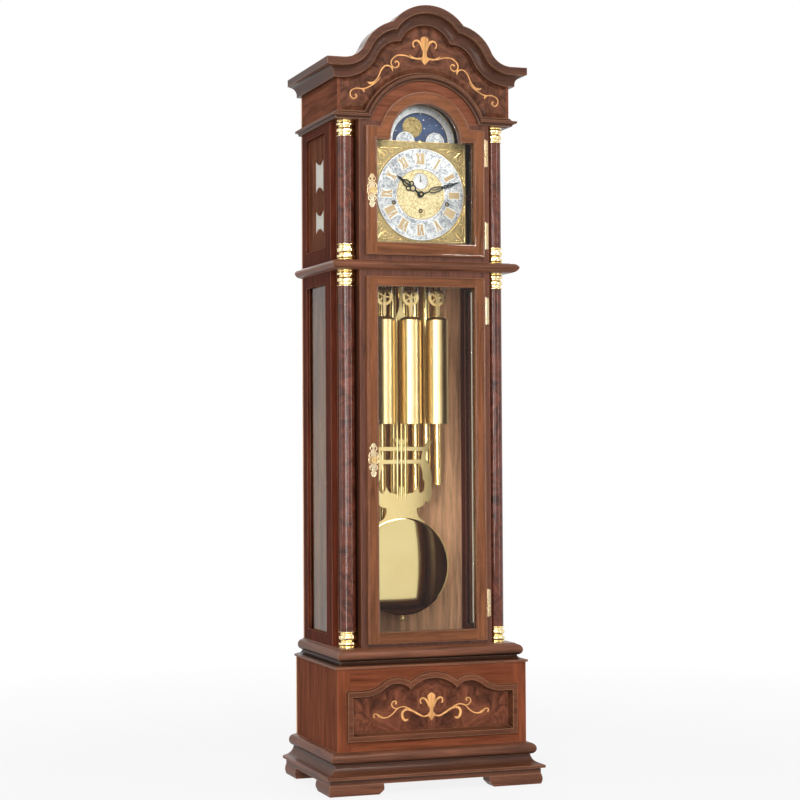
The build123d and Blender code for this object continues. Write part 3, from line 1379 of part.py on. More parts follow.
def hand(length, width, angle, near, bore, level, links):
    """Hand with rings along its stem, turned clockwise from twelve."""
    point = face_of((-width / 2, 0), (-width / 4, length), (width / 4, length), (width / 2, 0))
    for along, wide in links:
        middle = length * along
        loop = Circle(width * wide) - Circle(width * wide / 2)
        point += Pos(0, middle) * loop
    point += Circle(hand_hub if length > second_length else hand_hub / 3)
    point -= Circle(bore)
    return front_plate_of(Pos(0, level) * (Rot(Z=-angle) * point), near, near + hand_thick)


hour_hand = hand(hour_length, hand_width * 2, hour_angle, hour_hand_face, hour_pipe_radius, dial_level, link_shares)
minute_hand = hand(minute_length, hand_width, minute_angle, minute_hand_face - hand_thick, arbor_radius, dial_level,
                   link_shares)
second_hand = hand(second_length, hand_width / 3, second_angle, second_hand_face, arbor_radius, seconds_level, ())

# Every node, written to its own file
pieces = {
    "bracket_feet": bracket_feet,
    "plinth_moulding": plinth_moulding,
    "base_boards": base_sides + base_front_board,
    "base_panel_moulding": base_panel_moulding,
    "base_burl_panel": base_burl_panel,
    "base_top_moulding": base_top_moulding,
    "side_frames": trunk_side_frames + hood_side_frames,
    "trunk_side_glass": trunk_side_glass,
    "front_frames": trunk_front_frame + hood_front_frame,
    "corner_posts": corner_posts,
    "columns": columns,
    "capitals": trunk_capitals + hood_capitals,
    "waist_moulding": waist_moulding,
    "hood_side_frets": hood_side_frets,
    "hood_side_cloths": hood_side_cloths,
    "hood_cornice": hood_cornice,
    "frieze_boards": frieze_board + frieze_sides,
    "frieze_panel": frieze_panel,
    "crown_moulding": crown_moulding,
    "inner_boards": base_floor + seat_board + roof_board,
    "back_panel": back_panel,
    "case_hinges": hood_hinge_plates + trunk_hinge_plates,
    "hood_door_frame": hood_door_frame + hood_door_bead,
    "hood_door_glass": hood_door_glass,
    "hood_door_fittings": hood_door_hinges + hood_key_plate,
    "hood_key": hood_key,
    "trunk_door_frame": trunk_door_frame + trunk_door_bead,
    "trunk_door_glass": trunk_door_glass,
    "trunk_door_fittings": trunk_door_hinges + trunk_key_plate,
    "trunk_key": trunk_key,
    "dial_plate": dial_plate,
    "dial_rings": chapter_ring + seconds_ring + moon_band,
    "dial_centre": centre_disc,
    "moon_disc": moon_disc,
    "movement_frame": movement_plates + movement_pillars + dial_feet + pendulum_cock + cable_tops,
    "minute_train": minute_arbor,
    "minute_hand": minute_hand,
    "hour_wheel": hour_wheel,
    "hour_hand": hour_hand,
    "minute_wheel": minute_wheel,
    "third_wheel": third_wheel,
    "escape_wheel": escape_arbor,
    "second_hand": second_hand,
    "anchor": anchor,
    "pendulum_lyre": pendulum_leader + pendulum_plate + rods + pendulum_lyre,
    "pendulum_bob": pendulum_bob + rating_nut,
    "tubular_bells": tubes,
    "tube_rack": tube_rack + hammer_rail,
}
sides = ("left", "middle", "right")
for index, side in enumerate(sides):
    pieces[f"barrel_{side}"] = barrels[index]
    pieces[f"pulley_{side}"] = pulleys[index]
    pieces[f"weight_{side}"] = weights[index] + loops[index]
    pieces[f"cable_{side}"] = strands[index]

for name, piece in pieces.items():
    export_step(piece, f"parts/{name}.step")
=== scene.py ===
import json
import math
from collections import namedtuple

import bmesh
import bpy
from mathutils import Matrix, Vector


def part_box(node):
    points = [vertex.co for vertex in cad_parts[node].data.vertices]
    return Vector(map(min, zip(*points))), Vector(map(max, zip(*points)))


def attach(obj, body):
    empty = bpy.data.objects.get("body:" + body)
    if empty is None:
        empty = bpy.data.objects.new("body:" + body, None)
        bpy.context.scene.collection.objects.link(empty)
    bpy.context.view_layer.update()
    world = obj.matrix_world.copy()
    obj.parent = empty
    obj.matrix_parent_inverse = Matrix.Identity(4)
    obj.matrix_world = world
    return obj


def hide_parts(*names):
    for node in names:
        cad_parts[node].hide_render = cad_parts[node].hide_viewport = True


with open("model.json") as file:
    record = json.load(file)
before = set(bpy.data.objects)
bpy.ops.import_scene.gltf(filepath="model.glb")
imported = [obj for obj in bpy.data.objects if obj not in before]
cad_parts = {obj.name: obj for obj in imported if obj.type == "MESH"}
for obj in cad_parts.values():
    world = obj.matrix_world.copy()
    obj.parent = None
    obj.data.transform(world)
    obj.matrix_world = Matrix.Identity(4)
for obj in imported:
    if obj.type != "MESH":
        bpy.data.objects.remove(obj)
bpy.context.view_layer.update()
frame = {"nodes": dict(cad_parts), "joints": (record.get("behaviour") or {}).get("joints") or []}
nodes = frame["nodes"]

MM = 0.001
WHITE = (1.0, 1.0, 1.0, 1.0)


# Sizes and places are in millimetres. Those of the CAD come from the frame
Corner = namedtuple("Corner", "x y z")


def extent(name):
    """Lowest and highest corner of a node, to a thousandth."""
    return [Corner(*(round(value / MM, 3) for value in corner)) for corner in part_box(name)]


def face_of(name):
    """Plane of the front of a node."""
    return extent(name)[0].y


def axis(name):
    """Place of a joint's axis, seen from the front, as (x, z)."""
    x, _, z = next(joint["pos_m"] for joint in frame["joints"] if joint["name"] == name)
    return round(x / MM, 3), round(z / MM, 3)


# Doors
GLASS_LAP = 6.0
GLASS_HALF = extent("trunk_door_glass")[1].x - GLASS_LAP
DOOR_ARCH_LEVEL = 1738.0

# Base front
BASE_STILE = 231.0

# Dial
DIAL_FACE = face_of("dial_plate")
DIAL_LEVEL = axis("minute_turn")[1]
DIAL_HALF = extent("dial_plate")[1].x
RING_FACE = face_of("dial_rings")
RING_INNER = extent("dial_centre")[1].x
RING_OUTER = extent("dial_rings")[1].x
DIAL_ARCH_RISE = 3.0
ARCH_LEVEL = DOOR_ARCH_LEVEL + DIAL_ARCH_RISE
ARCH_OUTER = 100.0
ARCH_INNER = 80.0
HUMP_OFFSET = 43.0
HUMP_RADIUS = 27.0


# Shader helpers. Lengths inside a material are in metres
def shader(name):
    """New material with a Principled shader. Returns the material, its tree and the shader."""
    material = bpy.data.materials.new(name)
    material.use_nodes = True
    tree = material.node_tree
    tree.nodes.clear()
    node(tree, "OutputMaterial")
    surface = node(tree, "BsdfPrincipled")
    show(tree, surface)
    return material, tree, surface


def show(tree, source):
    """Links a shader to the output of its material."""
    output = next(made for made in tree.nodes if made.type == "OUTPUT_MATERIAL")
    tree.links.new(source.outputs[0], output.inputs["Surface"])


def node(tree, kind, inputs=None, **settings):
    """Adds a node. Inputs are values, or sockets to link."""
    made = tree.nodes.new("ShaderNode" + kind)
    for key, value in settings.items():
        setattr(made, key, value)
    for key, value in (inputs or {}).items():
        if isinstance(value, bpy.types.NodeSocket):
            tree.links.new(value, made.inputs[key])
        else:
            made.inputs[key].default_value = value
    return made


def maths(tree, operation, a, b=0.0):
    return node(tree, "Math", {0: a, 1: b}, operation=operation).outputs[0]


def place(tree):
    """Position on the part, in metres."""
    return node(tree, "TexCoord").outputs["Object"]


def axes(tree, vector):
    return node(tree, "SeparateXYZ", {0: vector}).outputs


def facing(tree):
    """Parts of the direction that a face looks in."""
    return axes(tree, node(tree, "NewGeometry").outputs["True Normal"])


def stretched(tree, vector, scale):
    return node(tree, "Mapping", {"Vector": vector, "Scale": scale}).outputs[0]


def noise(tree, vector, scale, detail=3.0, roughness=0.55, distortion=0.0):
    values = {"Vector": vector, "Scale": scale, "Detail": detail, "Roughness": roughness,
              "Distortion": distortion}
    return node(tree, "TexNoise", values).outputs["Fac"]


def swirled(tree, vector, scale, detail, reach):
    """Positions moved about by a coarse noise, so that a pattern on them curls."""
    warp = node(tree, "TexNoise", {"Vector": vector, "Scale": scale, "Detail": detail}).outputs["Color"]
    swirl = node(tree, "VectorMath", {0: warp, "Scale": reach}, operation="SCALE").outputs[0]
    return node(tree, "VectorMath", {0: vector, 1: swirl}, operation="ADD").outputs[0]


def rescale(tree, value, start, end, low, high):
    """Low where the value is at start, high where it is at end, and between them in between."""
    return node(tree, "MapRange", {0: value, 1: start, 2: end, 3: low, 4: high}).outputs[0]


def ramp(tree, factor, stops):
    """Colour ramp from (position, colour) stops."""
    made = node(tree, "ValToRGB", {0: factor})
    band = made.color_ramp
    while len(band.elements) < len(stops):
        band.elements.new(0.5)
    for element, (position, colour) in zip(band.elements, stops):
        element.position = position
        element.color = (*colour, 1.0)
    return made.outputs[0]


def grey(value):
    return (value, value, value)


def shades(tone, low=0.55, high=1.4):
    """Dark, middle and light shade of a colour."""
    return [tuple(channel * level for channel in tone) for level in (low, 1.0, high)]


def blend(tree, factor, a, b, mode="MIX"):
    made = node(tree, "Mix", data_type="RGBA", blend_type=mode)
    for socket, value in zip((made.inputs[0], made.inputs[6], made.inputs[7]), (factor, a, b)):
        if isinstance(value, bpy.types.NodeSocket):
            tree.links.new(value, socket)
        elif socket == made.inputs[0]:
            socket.default_value = value
        else:
            socket.default_value = (*value, 1.0)
    return made.outputs[2]


def vector_mix(tree, factor, a, b):
    made = node(tree, "Mix", data_type="VECTOR")
    tree.links.new(factor, made.inputs[0])
    tree.links.new(a, made.inputs[4])
    tree.links.new(b, made.inputs[5])
    return made.outputs[1]


def reach_from(tree, x, level):
    """Distance from a point of the front, seen along the depth, in metres."""
    parts = axes(tree, place(tree))
    across = maths(tree, "SUBTRACT", parts[0], x * MM)
    up = maths(tree, "SUBTRACT", parts[2], level * MM)
    squares = maths(tree, "ADD", maths(tree, "MULTIPLY", across, across), maths(tree, "MULTIPLY", up, up))
    return maths(tree, "SQRT", squares)


def bump(tree, surface, height, strength, distance):
    made = node(tree, "Bump", {"Height": height, "Strength": strength, "Distance": distance})
    tree.links.new(made.outputs[0], surface.inputs["Normal"])


def finish(surface, roughness, coat=0.0, coat_roughness=0.05, metallic=0.0, specular=0.5):
    surface.inputs["Roughness"].default_value = roughness
    surface.inputs["Metallic"].default_value = metallic
    surface.inputs["Coat Weight"].default_value = coat
    surface.inputs["Coat Roughness"].default_value = coat_roughness
    surface.inputs["Specular IOR Level"].default_value = specular


# Woods. Each has growth bands, pores and slow changes of tone along its grain
GRAINS = {"x": (1.0, 14.0, 14.0), "y": (14.0, 1.0, 14.0), "z": (14.0, 14.0, 1.0)}
PORE_DEPTH = 0.0003
POLISH = 0.03
EDGE_REACH = 0.0028
# Light colour for the edges: partly wear, partly a painted highlight
EDGE_WEAR_AND_HIGHLIGHT = (0.50, 0.25, 0.14)
# Painted shade: a near-black colour that ambient occlusion blends into hollows and inner corners
HOLLOW_SHADE_REACH = 0.040
HOLLOW_SHADE = (0.010, 0.005, 0.003)


def two_grains(tree, vector, choice, first, second):
    """Grain along the first axis where the choice is 0, and along the second where it is 1."""
    grains = [stretched(tree, vector, GRAINS[name]) for name in (first, second)]
    return vector_mix(tree, choice, *grains)


def run_grain(tree, vector):
    """Grain along a moulding: along Y on faces that look sideways, and along X elsewhere."""
    sideways, forward = [maths(tree, "ABSOLUTE", part) for part in facing(tree)[:2]]
    return two_grains(tree, vector, maths(tree, "GREATER_THAN", sideways, forward), "x", "y")


def joined_grain(tree, vector, stile):
    """Upright grain in the stiles, beyond a distance from the middle, and level grain between them."""
    across = maths(tree, "ABSOLUTE", axes(tree, vector)[0])
    return two_grains(tree, vector, maths(tree, "GREATER_THAN", across, stile * MM), "x", "z")


def wear_and_highlight_edges(tree, colour, amount):
    """Lightens the sharp edges: partly wear, where the polish is rubbed thin, and partly a painted
    highlight, where edges catch the light.
    """
    rounded = node(tree, "Bevel", {"Radius": EDGE_REACH}).outputs[0]
    flat = node(tree, "NewGeometry").outputs["Normal"]
    agree = node(tree, "VectorMath", {0: rounded, 1: flat}, operation="DOT_PRODUCT").outputs["Value"]
    return blend(tree, rescale(tree, agree, 0.97, 0.80, 0.0, amount), colour, EDGE_WEAR_AND_HIGHLIGHT)


def painted_hollow_shade(tree, colour, amount):
    """Darkens the hollows and inner corners of a piece with painted shade."""
    clear = node(tree, "AmbientOcclusion", {"Distance": HOLLOW_SHADE_REACH}, samples=8, only_local=True)
    return blend(tree, rescale(tree, clear.outputs["AO"], 0.50, 0.97, amount, 0.0), colour, HOLLOW_SHADE)


def front_polish(tree, surface, front, side):
    """Full polish on faces that look forward or up, and less on the sides of the case."""
    sideways = maths(tree, "ABSOLUTE", facing(tree)[0])
    tree.links.new(rescale(tree, sideways, 0.25, 0.60, front, side), surface.inputs["Coat Weight"])


def wood(name, tone, grain, coat=0.12, side_coat=None, seed=0.0, figure=1.0, specular=0.08, edge_wear_and_highlight=0.0,
         hollow_shade=0.0):
    """Polished wood, with grain along an axis, along its moulding, or upright beyond a distance across."""
    material, tree, surface = shader(name)
    vector = node(tree, "Mapping", {"Vector": place(tree), "Location": (seed, seed, seed)}).outputs[0]
    if grain in GRAINS:
        along = stretched(tree, vector, GRAINS[grain])
    elif grain == "run":
        along = run_grain(tree, vector)
    else:
        along = joined_grain(tree, place(tree), grain)
    bands = noise(tree, along, 5.5, detail=5.0, roughness=0.6, distortion=0.9 * figure)
    pores = noise(tree, along, 46.0, roughness=0.7)
    slow = noise(tree, vector, 2.6, detail=2.0, roughness=0.5, distortion=0.4)
    dark, middle, light = shades(tone)
    colour = ramp(tree, bands, [(0.30, dark), (0.50, middle), (0.72, light)])
    streaks = ramp(tree, pores, [(0.34, grey(0.62)), (0.47, grey(1.0))])
    colour = blend(tree, 0.5, colour, streaks, "MULTIPLY")
    drift = ramp(tree, slow, [(0.30, grey(0.84)), (0.70, grey(1.16))])
    colour = blend(tree, 1.0, colour, drift, "MULTIPLY")
    # Painted shade darkens the hollows and inner corners
    if hollow_shade:
        colour = painted_hollow_shade(tree, colour, hollow_shade)
    # Edges lightened: partly wear, partly a painted highlight
    if edge_wear_and_highlight:
        colour = wear_and_highlight_edges(tree, colour, edge_wear_and_highlight)
    tree.links.new(colour, surface.inputs["Base Color"])
    finish(surface, 0.4, coat, coat_roughness=POLISH, specular=specular)
    if side_coat is not None:
        front_polish(tree, surface, coat, side_coat)
    tree.links.new(rescale(tree, bands, 0.0, 1.0, 0.32, 0.46), surface.inputs["Roughness"])
    bump(tree, surface, pores, strength=0.08, distance=PORE_DEPTH)
    return material


def burl(name, tone, scale, coat=0.12, matched=True):
    """Veneer with swirled figure and small eyes, matched about the middle of the case."""
    material, tree, surface = shader(name)
    vector = place(tree)
    if matched:
        parts = axes(tree, vector)
        half = maths(tree, "ABSOLUTE", parts[0])
        vector = node(tree, "CombineXYZ", {0: half, 1: parts[1], 2: parts[2]}).outputs[0]
    moved = swirled(tree, vector, scale * 0.35, detail=2.0, reach=0.16)
    clouds = noise(tree, moved, scale, detail=6.0, roughness=0.68, distortion=1.6)
    fine = noise(tree, moved, scale * 7.0, roughness=0.7, distortion=0.8)
    eyes = node(tree, "TexVoronoi", {"Vector": moved, "Scale": scale * 2.6}).outputs["Distance"]
    dark, middle, light = shades(tone, 0.35, 1.8)
    colour = ramp(tree, clouds, [(0.34, dark), (0.50, middle), (0.66, light)])
    colour = blend(tree, 0.5, colour, ramp(tree, fine, [(0.36, grey(0.5)), (0.56, grey(1.1))]), "MULTIPLY")
    colour = blend(tree, 0.4, colour, ramp(tree, eyes, [(0.04, grey(0.4)), (0.22, grey(1.0))]), "MULTIPLY")
    tree.links.new(colour, surface.inputs["Base Color"])
    finish(surface, 0.36, coat, coat_roughness=POLISH, specular=0.08)
    bump(tree, surface, fine, strength=0.05, distance=PORE_DEPTH)
    return material


# In these woods the darkened hollows are painted shade, and the lightened edges are partly wear and partly
# a painted highlight
front_wood = wood("walnut_front", (0.120, 0.042, 0.024), "z",
                  coat=0.36, side_coat=0.06, edge_wear_and_highlight=0.4, hollow_shade=0.8)
side_wood = wood("walnut_side", (0.105, 0.024, 0.013), "z",
                 coat=0.06, seed=3.1, specular=0.0, edge_wear_and_highlight=0.6, hollow_shade=0.8)
frieze_wood = wood("walnut_frieze", (0.190, 0.066, 0.036), "run",
                   coat=0.03, seed=3.7, specular=0.0, edge_wear_and_highlight=0.3)
post_wood = wood("walnut_post", (0.085, 0.028, 0.015), "z",
                 coat=0.34, side_coat=0.06, seed=4.4, edge_wear_and_highlight=0.6, hollow_shade=0.6)
fret_wood = wood("walnut_fret", (0.150, 0.052, 0.027), "z",
                 coat=0.04, seed=6.2, specular=0.0, edge_wear_and_highlight=0.3)
run_wood = wood("walnut_moulding", (0.160, 0.058, 0.030), "run",
                coat=0.24, side_coat=0.05, seed=1.7, edge_wear_and_highlight=0.6, hollow_shade=0.95)
crown_wood = wood("walnut_crown", (0.088, 0.032, 0.017), "run",
                  coat=0.24, side_coat=0.05, seed=8.3, edge_wear_and_highlight=0.7, hollow_shade=0.95)
door_wood = wood("walnut_door", (0.185, 0.066, 0.027), GLASS_HALF,
                 coat=0.14, side_coat=0.05, seed=5.3, edge_wear_and_highlight=0.5, hollow_shade=0.8)
base_wood = wood("walnut_base", (0.200, 0.056, 0.025), BASE_STILE,
                 coat=0.05, seed=2.2, specular=0.0, edge_wear_and_highlight=0.3)
panel_frame_wood = wood("walnut_panel_frame", (0.125, 0.042, 0.020), "x",
                        coat=0.12, seed=2.9, edge_wear_and_highlight=1.0, hollow_shade=0.9)
# The inside and back boards are far paler than the outer walnut: painted light for the dim inside of the
# case
inner_wood = wood("walnut_inside_painted_light", (0.800, 0.460, 0.270), "x", coat=0.02, seed=7.9, figure=0.6)
back_wood = wood("walnut_back_painted_light", (0.760, 0.420, 0.235), "z", coat=0.02, seed=7.9, figure=0.6)
inlay_wood = wood("inlay_light", (0.720, 0.360, 0.130), "z", coat=0.05, seed=9.7, figure=0.5)
bead_wood = wood("walnut_bead", (0.190, 0.070, 0.032), "run", coat=0.55, seed=1.1)
base_burl = burl("burl_base", (0.135, 0.042, 0.021), 19.0, coat=0.06)
# The frieze burl is a darker copy of the base burl: painted shade
frieze_burl_painted_shade = burl("burl_frieze_painted_shade", (0.105, 0.038, 0.020), 17.0, coat=0.05)
column_burl = burl("burl_column", (0.105, 0.028, 0.015), 20.0, coat=0.50, matched=False)


# Metals, enamel, glass and cloth
EVEN = (1.0, 1.0, 1.0)
DRAWN = (1.0, 1.0, 0.08)
ROLLED = (1.0, 1.0, 0.05)


def metal(name, tone, roughness, grain=EVEN, strength=0.03, depth=0.84, spread=0.28):
    """Metal with a slow change of tone, fine polish lines and small changes of gloss."""
    material, tree, surface = shader(name)
    vector = place(tree)
    slow = noise(tree, vector, 9.0, roughness=0.5)
    lines = noise(tree, stretched(tree, vector, grain), 260.0, detail=2.0, roughness=0.6)
    shade = tuple(channel * depth ** (index + 1) for index, channel in enumerate(tone))
    tree.links.new(ramp(tree, slow, [(0.3, shade), (0.7, tone)]), surface.inputs["Base Color"])
    finish(surface, roughness, metallic=1.0)
    rough = rescale(tree, lines, 0.0, 1.0, roughness * (1 - spread), roughness * (1 + spread))
    tree.links.new(rough, surface.inputs["Roughness"])
    if strength:
        bump(tree, surface, lines, strength, distance=0.0002)
    return material


brass = metal("brass_polished", (0.93, 0.74, 0.36), 0.12)
pale_brass = metal("brass_pale", (0.86, 0.68, 0.33), 0.20, DRAWN, strength=0.02, depth=0.9)
weight_brass = metal("brass_weight", (0.74, 0.58, 0.29), 0.34, DRAWN, strength=0.02, depth=0.9)
flat_brass = metal("brass_flat", (0.92, 0.74, 0.35), 0.30, ROLLED, strength=0.08, depth=0.92)
capital_brass = metal("brass_capital", (0.93, 0.79, 0.45), 0.16, depth=0.9)
gilt = metal("gilt_plate", (0.64, 0.55, 0.38), 0.34, strength=0.06)
gilt_scroll = metal("gilt_scroll", (0.84, 0.74, 0.50), 0.24)
bob_brass = metal("brass_bob", (0.86, 0.70, 0.34), 0.09, strength=0.0, depth=0.96, spread=0.05)
movement_brass = metal("brass_movement", (0.62, 0.45, 0.20), 0.30)
steel = metal("steel_bright", (0.72, 0.72, 0.74), 0.22)
hinge_metal = metal("hinge_pale_gold", (0.62, 0.52, 0.33), 0.26)
hand_black = metal("hand_black", (0.022, 0.030, 0.032), 0.34, depth=0.9)
mark_black = metal("mark_black", (0.030, 0.034, 0.040), 0.45, depth=0.9)
plain_silver = metal("silver_cartouche", (0.70, 0.70, 0.67), 0.34, depth=0.97)
numeral_gold = metal("gold_numeral", (0.66, 0.49, 0.24), 0.30)
outline_brown = metal("numeral_edge", (0.20, 0.13, 0.06), 0.42)
star_white = metal("star_white", (0.86, 0.86, 0.80), 0.40)
relief_gold = metal("gold_relief", (0.62, 0.48, 0.22), 0.24)


def engraved(name, tone, dark, scale, amount, roughness):
    """Metal covered with small engraved scrolls."""
    material, tree, surface = shader(name)
    moved = swirled(tree, place(tree), scale * 0.6, detail=1.0, reach=2.2 / scale)
    cells = node(tree, "TexVoronoi", {"Vector": moved, "Scale": scale}, feature="DISTANCE_TO_EDGE")
    curls = noise(tree, moved, scale * 1.3, detail=2.0, roughness=0.6, distortion=2.4)
    lines = ramp(tree, cells.outputs[0], [(0.02, grey(0.0)), (0.10, grey(1.0))])
    scrolls = ramp(tree, curls, [(0.44, grey(0.0)), (0.50, grey(1.0)), (0.56, grey(0.15))])
    relief = blend(tree, 0.5, lines, scrolls)
    colour = blend(tree, amount, tone, blend(tree, relief, dark, tone))
    tree.links.new(colour, surface.inputs["Base Color"])
    finish(surface, roughness, metallic=1.0)
    bump(tree, surface, relief, strength=0.45, distance=0.0005)
    return material


spandrel_gold = engraved("gold_engraved", (0.40, 0.31, 0.15), (0.12, 0.08, 0.03),
                         scale=125.0, amount=0.95, roughness=0.40)
centre_gold = engraved("gold_centre", (0.70, 0.61, 0.38), (0.26, 0.18, 0.06),
                       scale=100.0, amount=1.0, roughness=0.34)
moon_gold = engraved("gold_moon", (0.38, 0.29, 0.13), (0.09, 0.06, 0.02),
                     scale=60.0, amount=1.0, roughness=0.40)

# Silver of the dial
LEAF_BAND = 26.0
LEAF_MARGIN = 2.0
LEAF_GREY = (0.20, 0.22, 0.25)
# Darker tone for the arch of the ring: painted shade
ARCH_PAINTED_SHADE = (0.25, 0.27, 0.28)


def leaf_places(tree, reach):
    """One on the band round the numerals and on the two humps of the arch, and zero elsewhere."""
    middle = (RING_INNER + RING_OUTER) / 2 * MM
    off_middle = maths(tree, "ABSOLUTE", maths(tree, "SUBTRACT", reach, middle))
    places = maths(tree, "LESS_THAN", off_middle, LEAF_BAND * MM)
    for side in (-1, 1):
        off_hump = reach_from(tree, side * HUMP_OFFSET, ARCH_LEVEL)
        hump = maths(tree, "LESS_THAN", off_hump, (HUMP_RADIUS - LEAF_MARGIN) * MM)
        places = maths(tree, "MAXIMUM", places, hump)
    return places


def chapter_silver():
    """Silvered ring, brushed round the dial and engraved with grey leaves. Its arch is darkened with
    painted shade.
    """
    material, tree, surface = shader("silver_chapter")
    parts = axes(tree, place(tree))
    up = maths(tree, "SUBTRACT", parts[2], DIAL_LEVEL * MM)
    angle = maths(tree, "ARCTAN2", parts[0], up)
    reach = reach_from(tree, 0.0, DIAL_LEVEL)
    polar = node(tree, "CombineXYZ", {0: maths(tree, "MULTIPLY", reach, 40.0), 1: angle}).outputs[0]
    brushed = noise(tree, stretched(tree, polar, (30.0, 2.0, 1.0)), 4.0, detail=2.0, roughness=0.6)
    base = ramp(tree, brushed, [(0.3, grey(0.66)), (0.7, grey(0.84))])
    tarnish = noise(tree, place(tree), 26.0, roughness=0.6)
    base = blend(tree, 1.0, base, ramp(tree, tarnish, [(0.36, grey(0.62)), (0.60, grey(1.0))]), "MULTIPLY")
    # Painted shade: the ring above the arch level is darkened
    arch = maths(tree, "GREATER_THAN", parts[2], ARCH_LEVEL * MM)
    base = blend(tree, maths(tree, "MULTIPLY", arch, 0.3), base, ARCH_PAINTED_SHADE)
    leaves = noise(tree, place(tree), 105.0, roughness=0.7, distortion=1.6)
    leaves = ramp(tree, leaves, [(0.47, grey(0.0)), (0.55, grey(1.0))])
    spots = maths(tree, "MULTIPLY", leaves, leaf_places(tree, reach))
    colour = blend(tree, maths(tree, "MULTIPLY", spots, 0.8), base, LEAF_GREY)
    tree.links.new(colour, surface.inputs["Base Color"])
    finish(surface, 0.34, metallic=0.9)
    surface.inputs["Anisotropic"].default_value = 0.7
    around = node(tree, "CombineXYZ", {0: up, 2: maths(tree, "MULTIPLY", parts[0], -1.0)}).outputs[0]
    tangent = node(tree, "VectorMath", {0: around}, operation="NORMALIZE").outputs[0]
    tree.links.new(tangent, surface.inputs["Tangent"])
    bump(tree, surface, brushed, strength=0.10, distance=0.0003)
    return material


def moon_sky():
    """Blue enamel with a cloudy change of tone."""
    material, tree, surface = shader("moon_sky")
    clouds = noise(tree, place(tree), 30.0, detail=4.0, roughness=0.6, distortion=0.6)
    tint = ramp(tree, clouds, [(0.32, (0.010, 0.024, 0.075)), (0.52, (0.020, 0.046, 0.125)),
                               (0.72, (0.04, 0.08, 0.18))])
    tree.links.new(tint, surface.inputs["Base Color"])
    finish(surface, 0.38, coat=0.15)
    bump(tree, surface, clouds, strength=0.03, distance=0.0003)
    return material


GLASS_ROUGHNESS = 0.02
GLASS_INDEX = 1.45


def pane(name, tint, amount):
    """Clear glass: it passes light and mirrors its surroundings at low angles, on the outer face only."""
    material, tree, surface = shader(name)
    surface.inputs["Base Color"].default_value = (*tint, 1.0)
    finish(surface, GLASS_ROUGHNESS)
    clear = node(tree, "BsdfTransparent", {"Color": (*tint, 1.0)})
    gloss = node(tree, "BsdfGlossy", {"Color": WHITE, "Roughness": GLASS_ROUGHNESS})
    slant = node(tree, "Fresnel", {"IOR": GLASS_INDEX}).outputs[0]
    outer = maths(tree, "SUBTRACT", 1.0, node(tree, "NewGeometry").outputs["Backfacing"])
    smudge = rescale(tree, noise(tree, place(tree), 12.0), 0.0, 1.0, amount * 0.85, amount)
    share = maths(tree, "MULTIPLY", maths(tree, "MULTIPLY", slant, outer), smudge)
    show(tree, node(tree, "MixShader", {0: share, 1: clear.outputs[0], 2: gloss.outputs[0]}))
    return material


THREADS = 1400.0


def cloth():
    """Open woven cloth behind the frets."""
    material, tree, surface = shader("fret_cloth")
    parts = axes(tree, stretched(tree, place(tree), (1.0, THREADS, THREADS)))
    weave = maths(tree, "MULTIPLY", maths(tree, "SINE", parts[1]), maths(tree, "SINE", parts[2]))
    colour = ramp(tree, weave, [(0.1, (0.70, 0.68, 0.61)), (0.8, (0.86, 0.84, 0.77))])
    tree.links.new(colour, surface.inputs["Base Color"])
    finish(surface, 0.8, specular=0.1)
    bump(tree, surface, weave, strength=0.4, distance=0.0004)
    return material


door_glass = pane("glass_door", (0.98, 0.985, 0.98), 0.55)
glass_bevel = pane("glass_bevel", (0.90, 0.92, 0.91), 1.0)
side_glass = pane("glass_side", (0.69, 0.665, 0.60), 0.8)
ring_silver = chapter_silver()

LOOKS = {
    run_wood: ["bracket_feet", "plinth_moulding", "base_top_moulding", "waist_moulding"],
    panel_frame_wood: ["base_panel_moulding"],
    crown_wood: ["hood_cornice", "crown_moulding"],
    front_wood: ["front_frames"],
    post_wood: ["corner_posts"],
    fret_wood: ["hood_side_frets"],
    side_wood: ["side_frames"],
    frieze_wood: ["frieze_boards"],
    door_wood: ["hood_door_frame", "trunk_door_frame"],
    base_wood: ["base_boards"],
    inner_wood: ["inner_boards", "tube_rack"],
    back_wood: ["back_panel"],
    base_burl: ["base_burl_panel"],
    frieze_burl_painted_shade: ["frieze_panel"],
    column_burl: ["columns"],
    brass: ["hood_key", "trunk_key", "pulley_left", "pulley_middle", "pulley_right"],
    capital_brass: ["capitals"],
    pale_brass: ["tubular_bells"],
    weight_brass: ["weight_left", "weight_middle", "weight_right"],
    flat_brass: ["pendulum_lyre"],
    gilt: ["hood_door_fittings", "trunk_door_fittings"],
    hinge_metal: ["case_hinges"],
    movement_brass: ["movement_frame", "minute_train", "hour_wheel", "minute_wheel", "third_wheel",
                     "escape_wheel", "barrel_left", "barrel_middle", "barrel_right"],
    steel: ["anchor", "cable_left", "cable_middle", "cable_right"],
    hand_black: ["second_hand"],
    spandrel_gold: ["dial_plate"],
    centre_gold: ["dial_centre"],
    ring_silver: ["dial_rings"],
    moon_sky(): ["moon_disc"],
    door_glass: ["hood_door_glass", "trunk_door_glass"],
    side_glass: ["trunk_side_glass"],
    cloth(): ["hood_side_cloths"],
}
for material, names in LOOKS.items():
    for name in names:
        for slot in nodes[name].material_slots:
            slot.material = material


# Mesh helpers. Outlines are (x, z) on planes that face forward
THIN_LINE = 0.15
CREASE = math.radians(38.0)


def at(x, y, z):
    return Vector((x, y, z)) * MM


def loft(shape, rings, closed=False):
    """Skin between rings of as many corners. Open ends are capped."""
    count = len(rings)
    for index in range(count if closed else count - 1):
        low, high = rings[index], rings[(index + 1) % count]
        for corner in range(len(low)):
            after = (corner + 1) % len(low)
            shape.faces.new((low[corner], low[after], high[after], high[corner]))
    if not closed:
        shape.faces.new(rings[0])
        shape.faces.new(rings[-1])


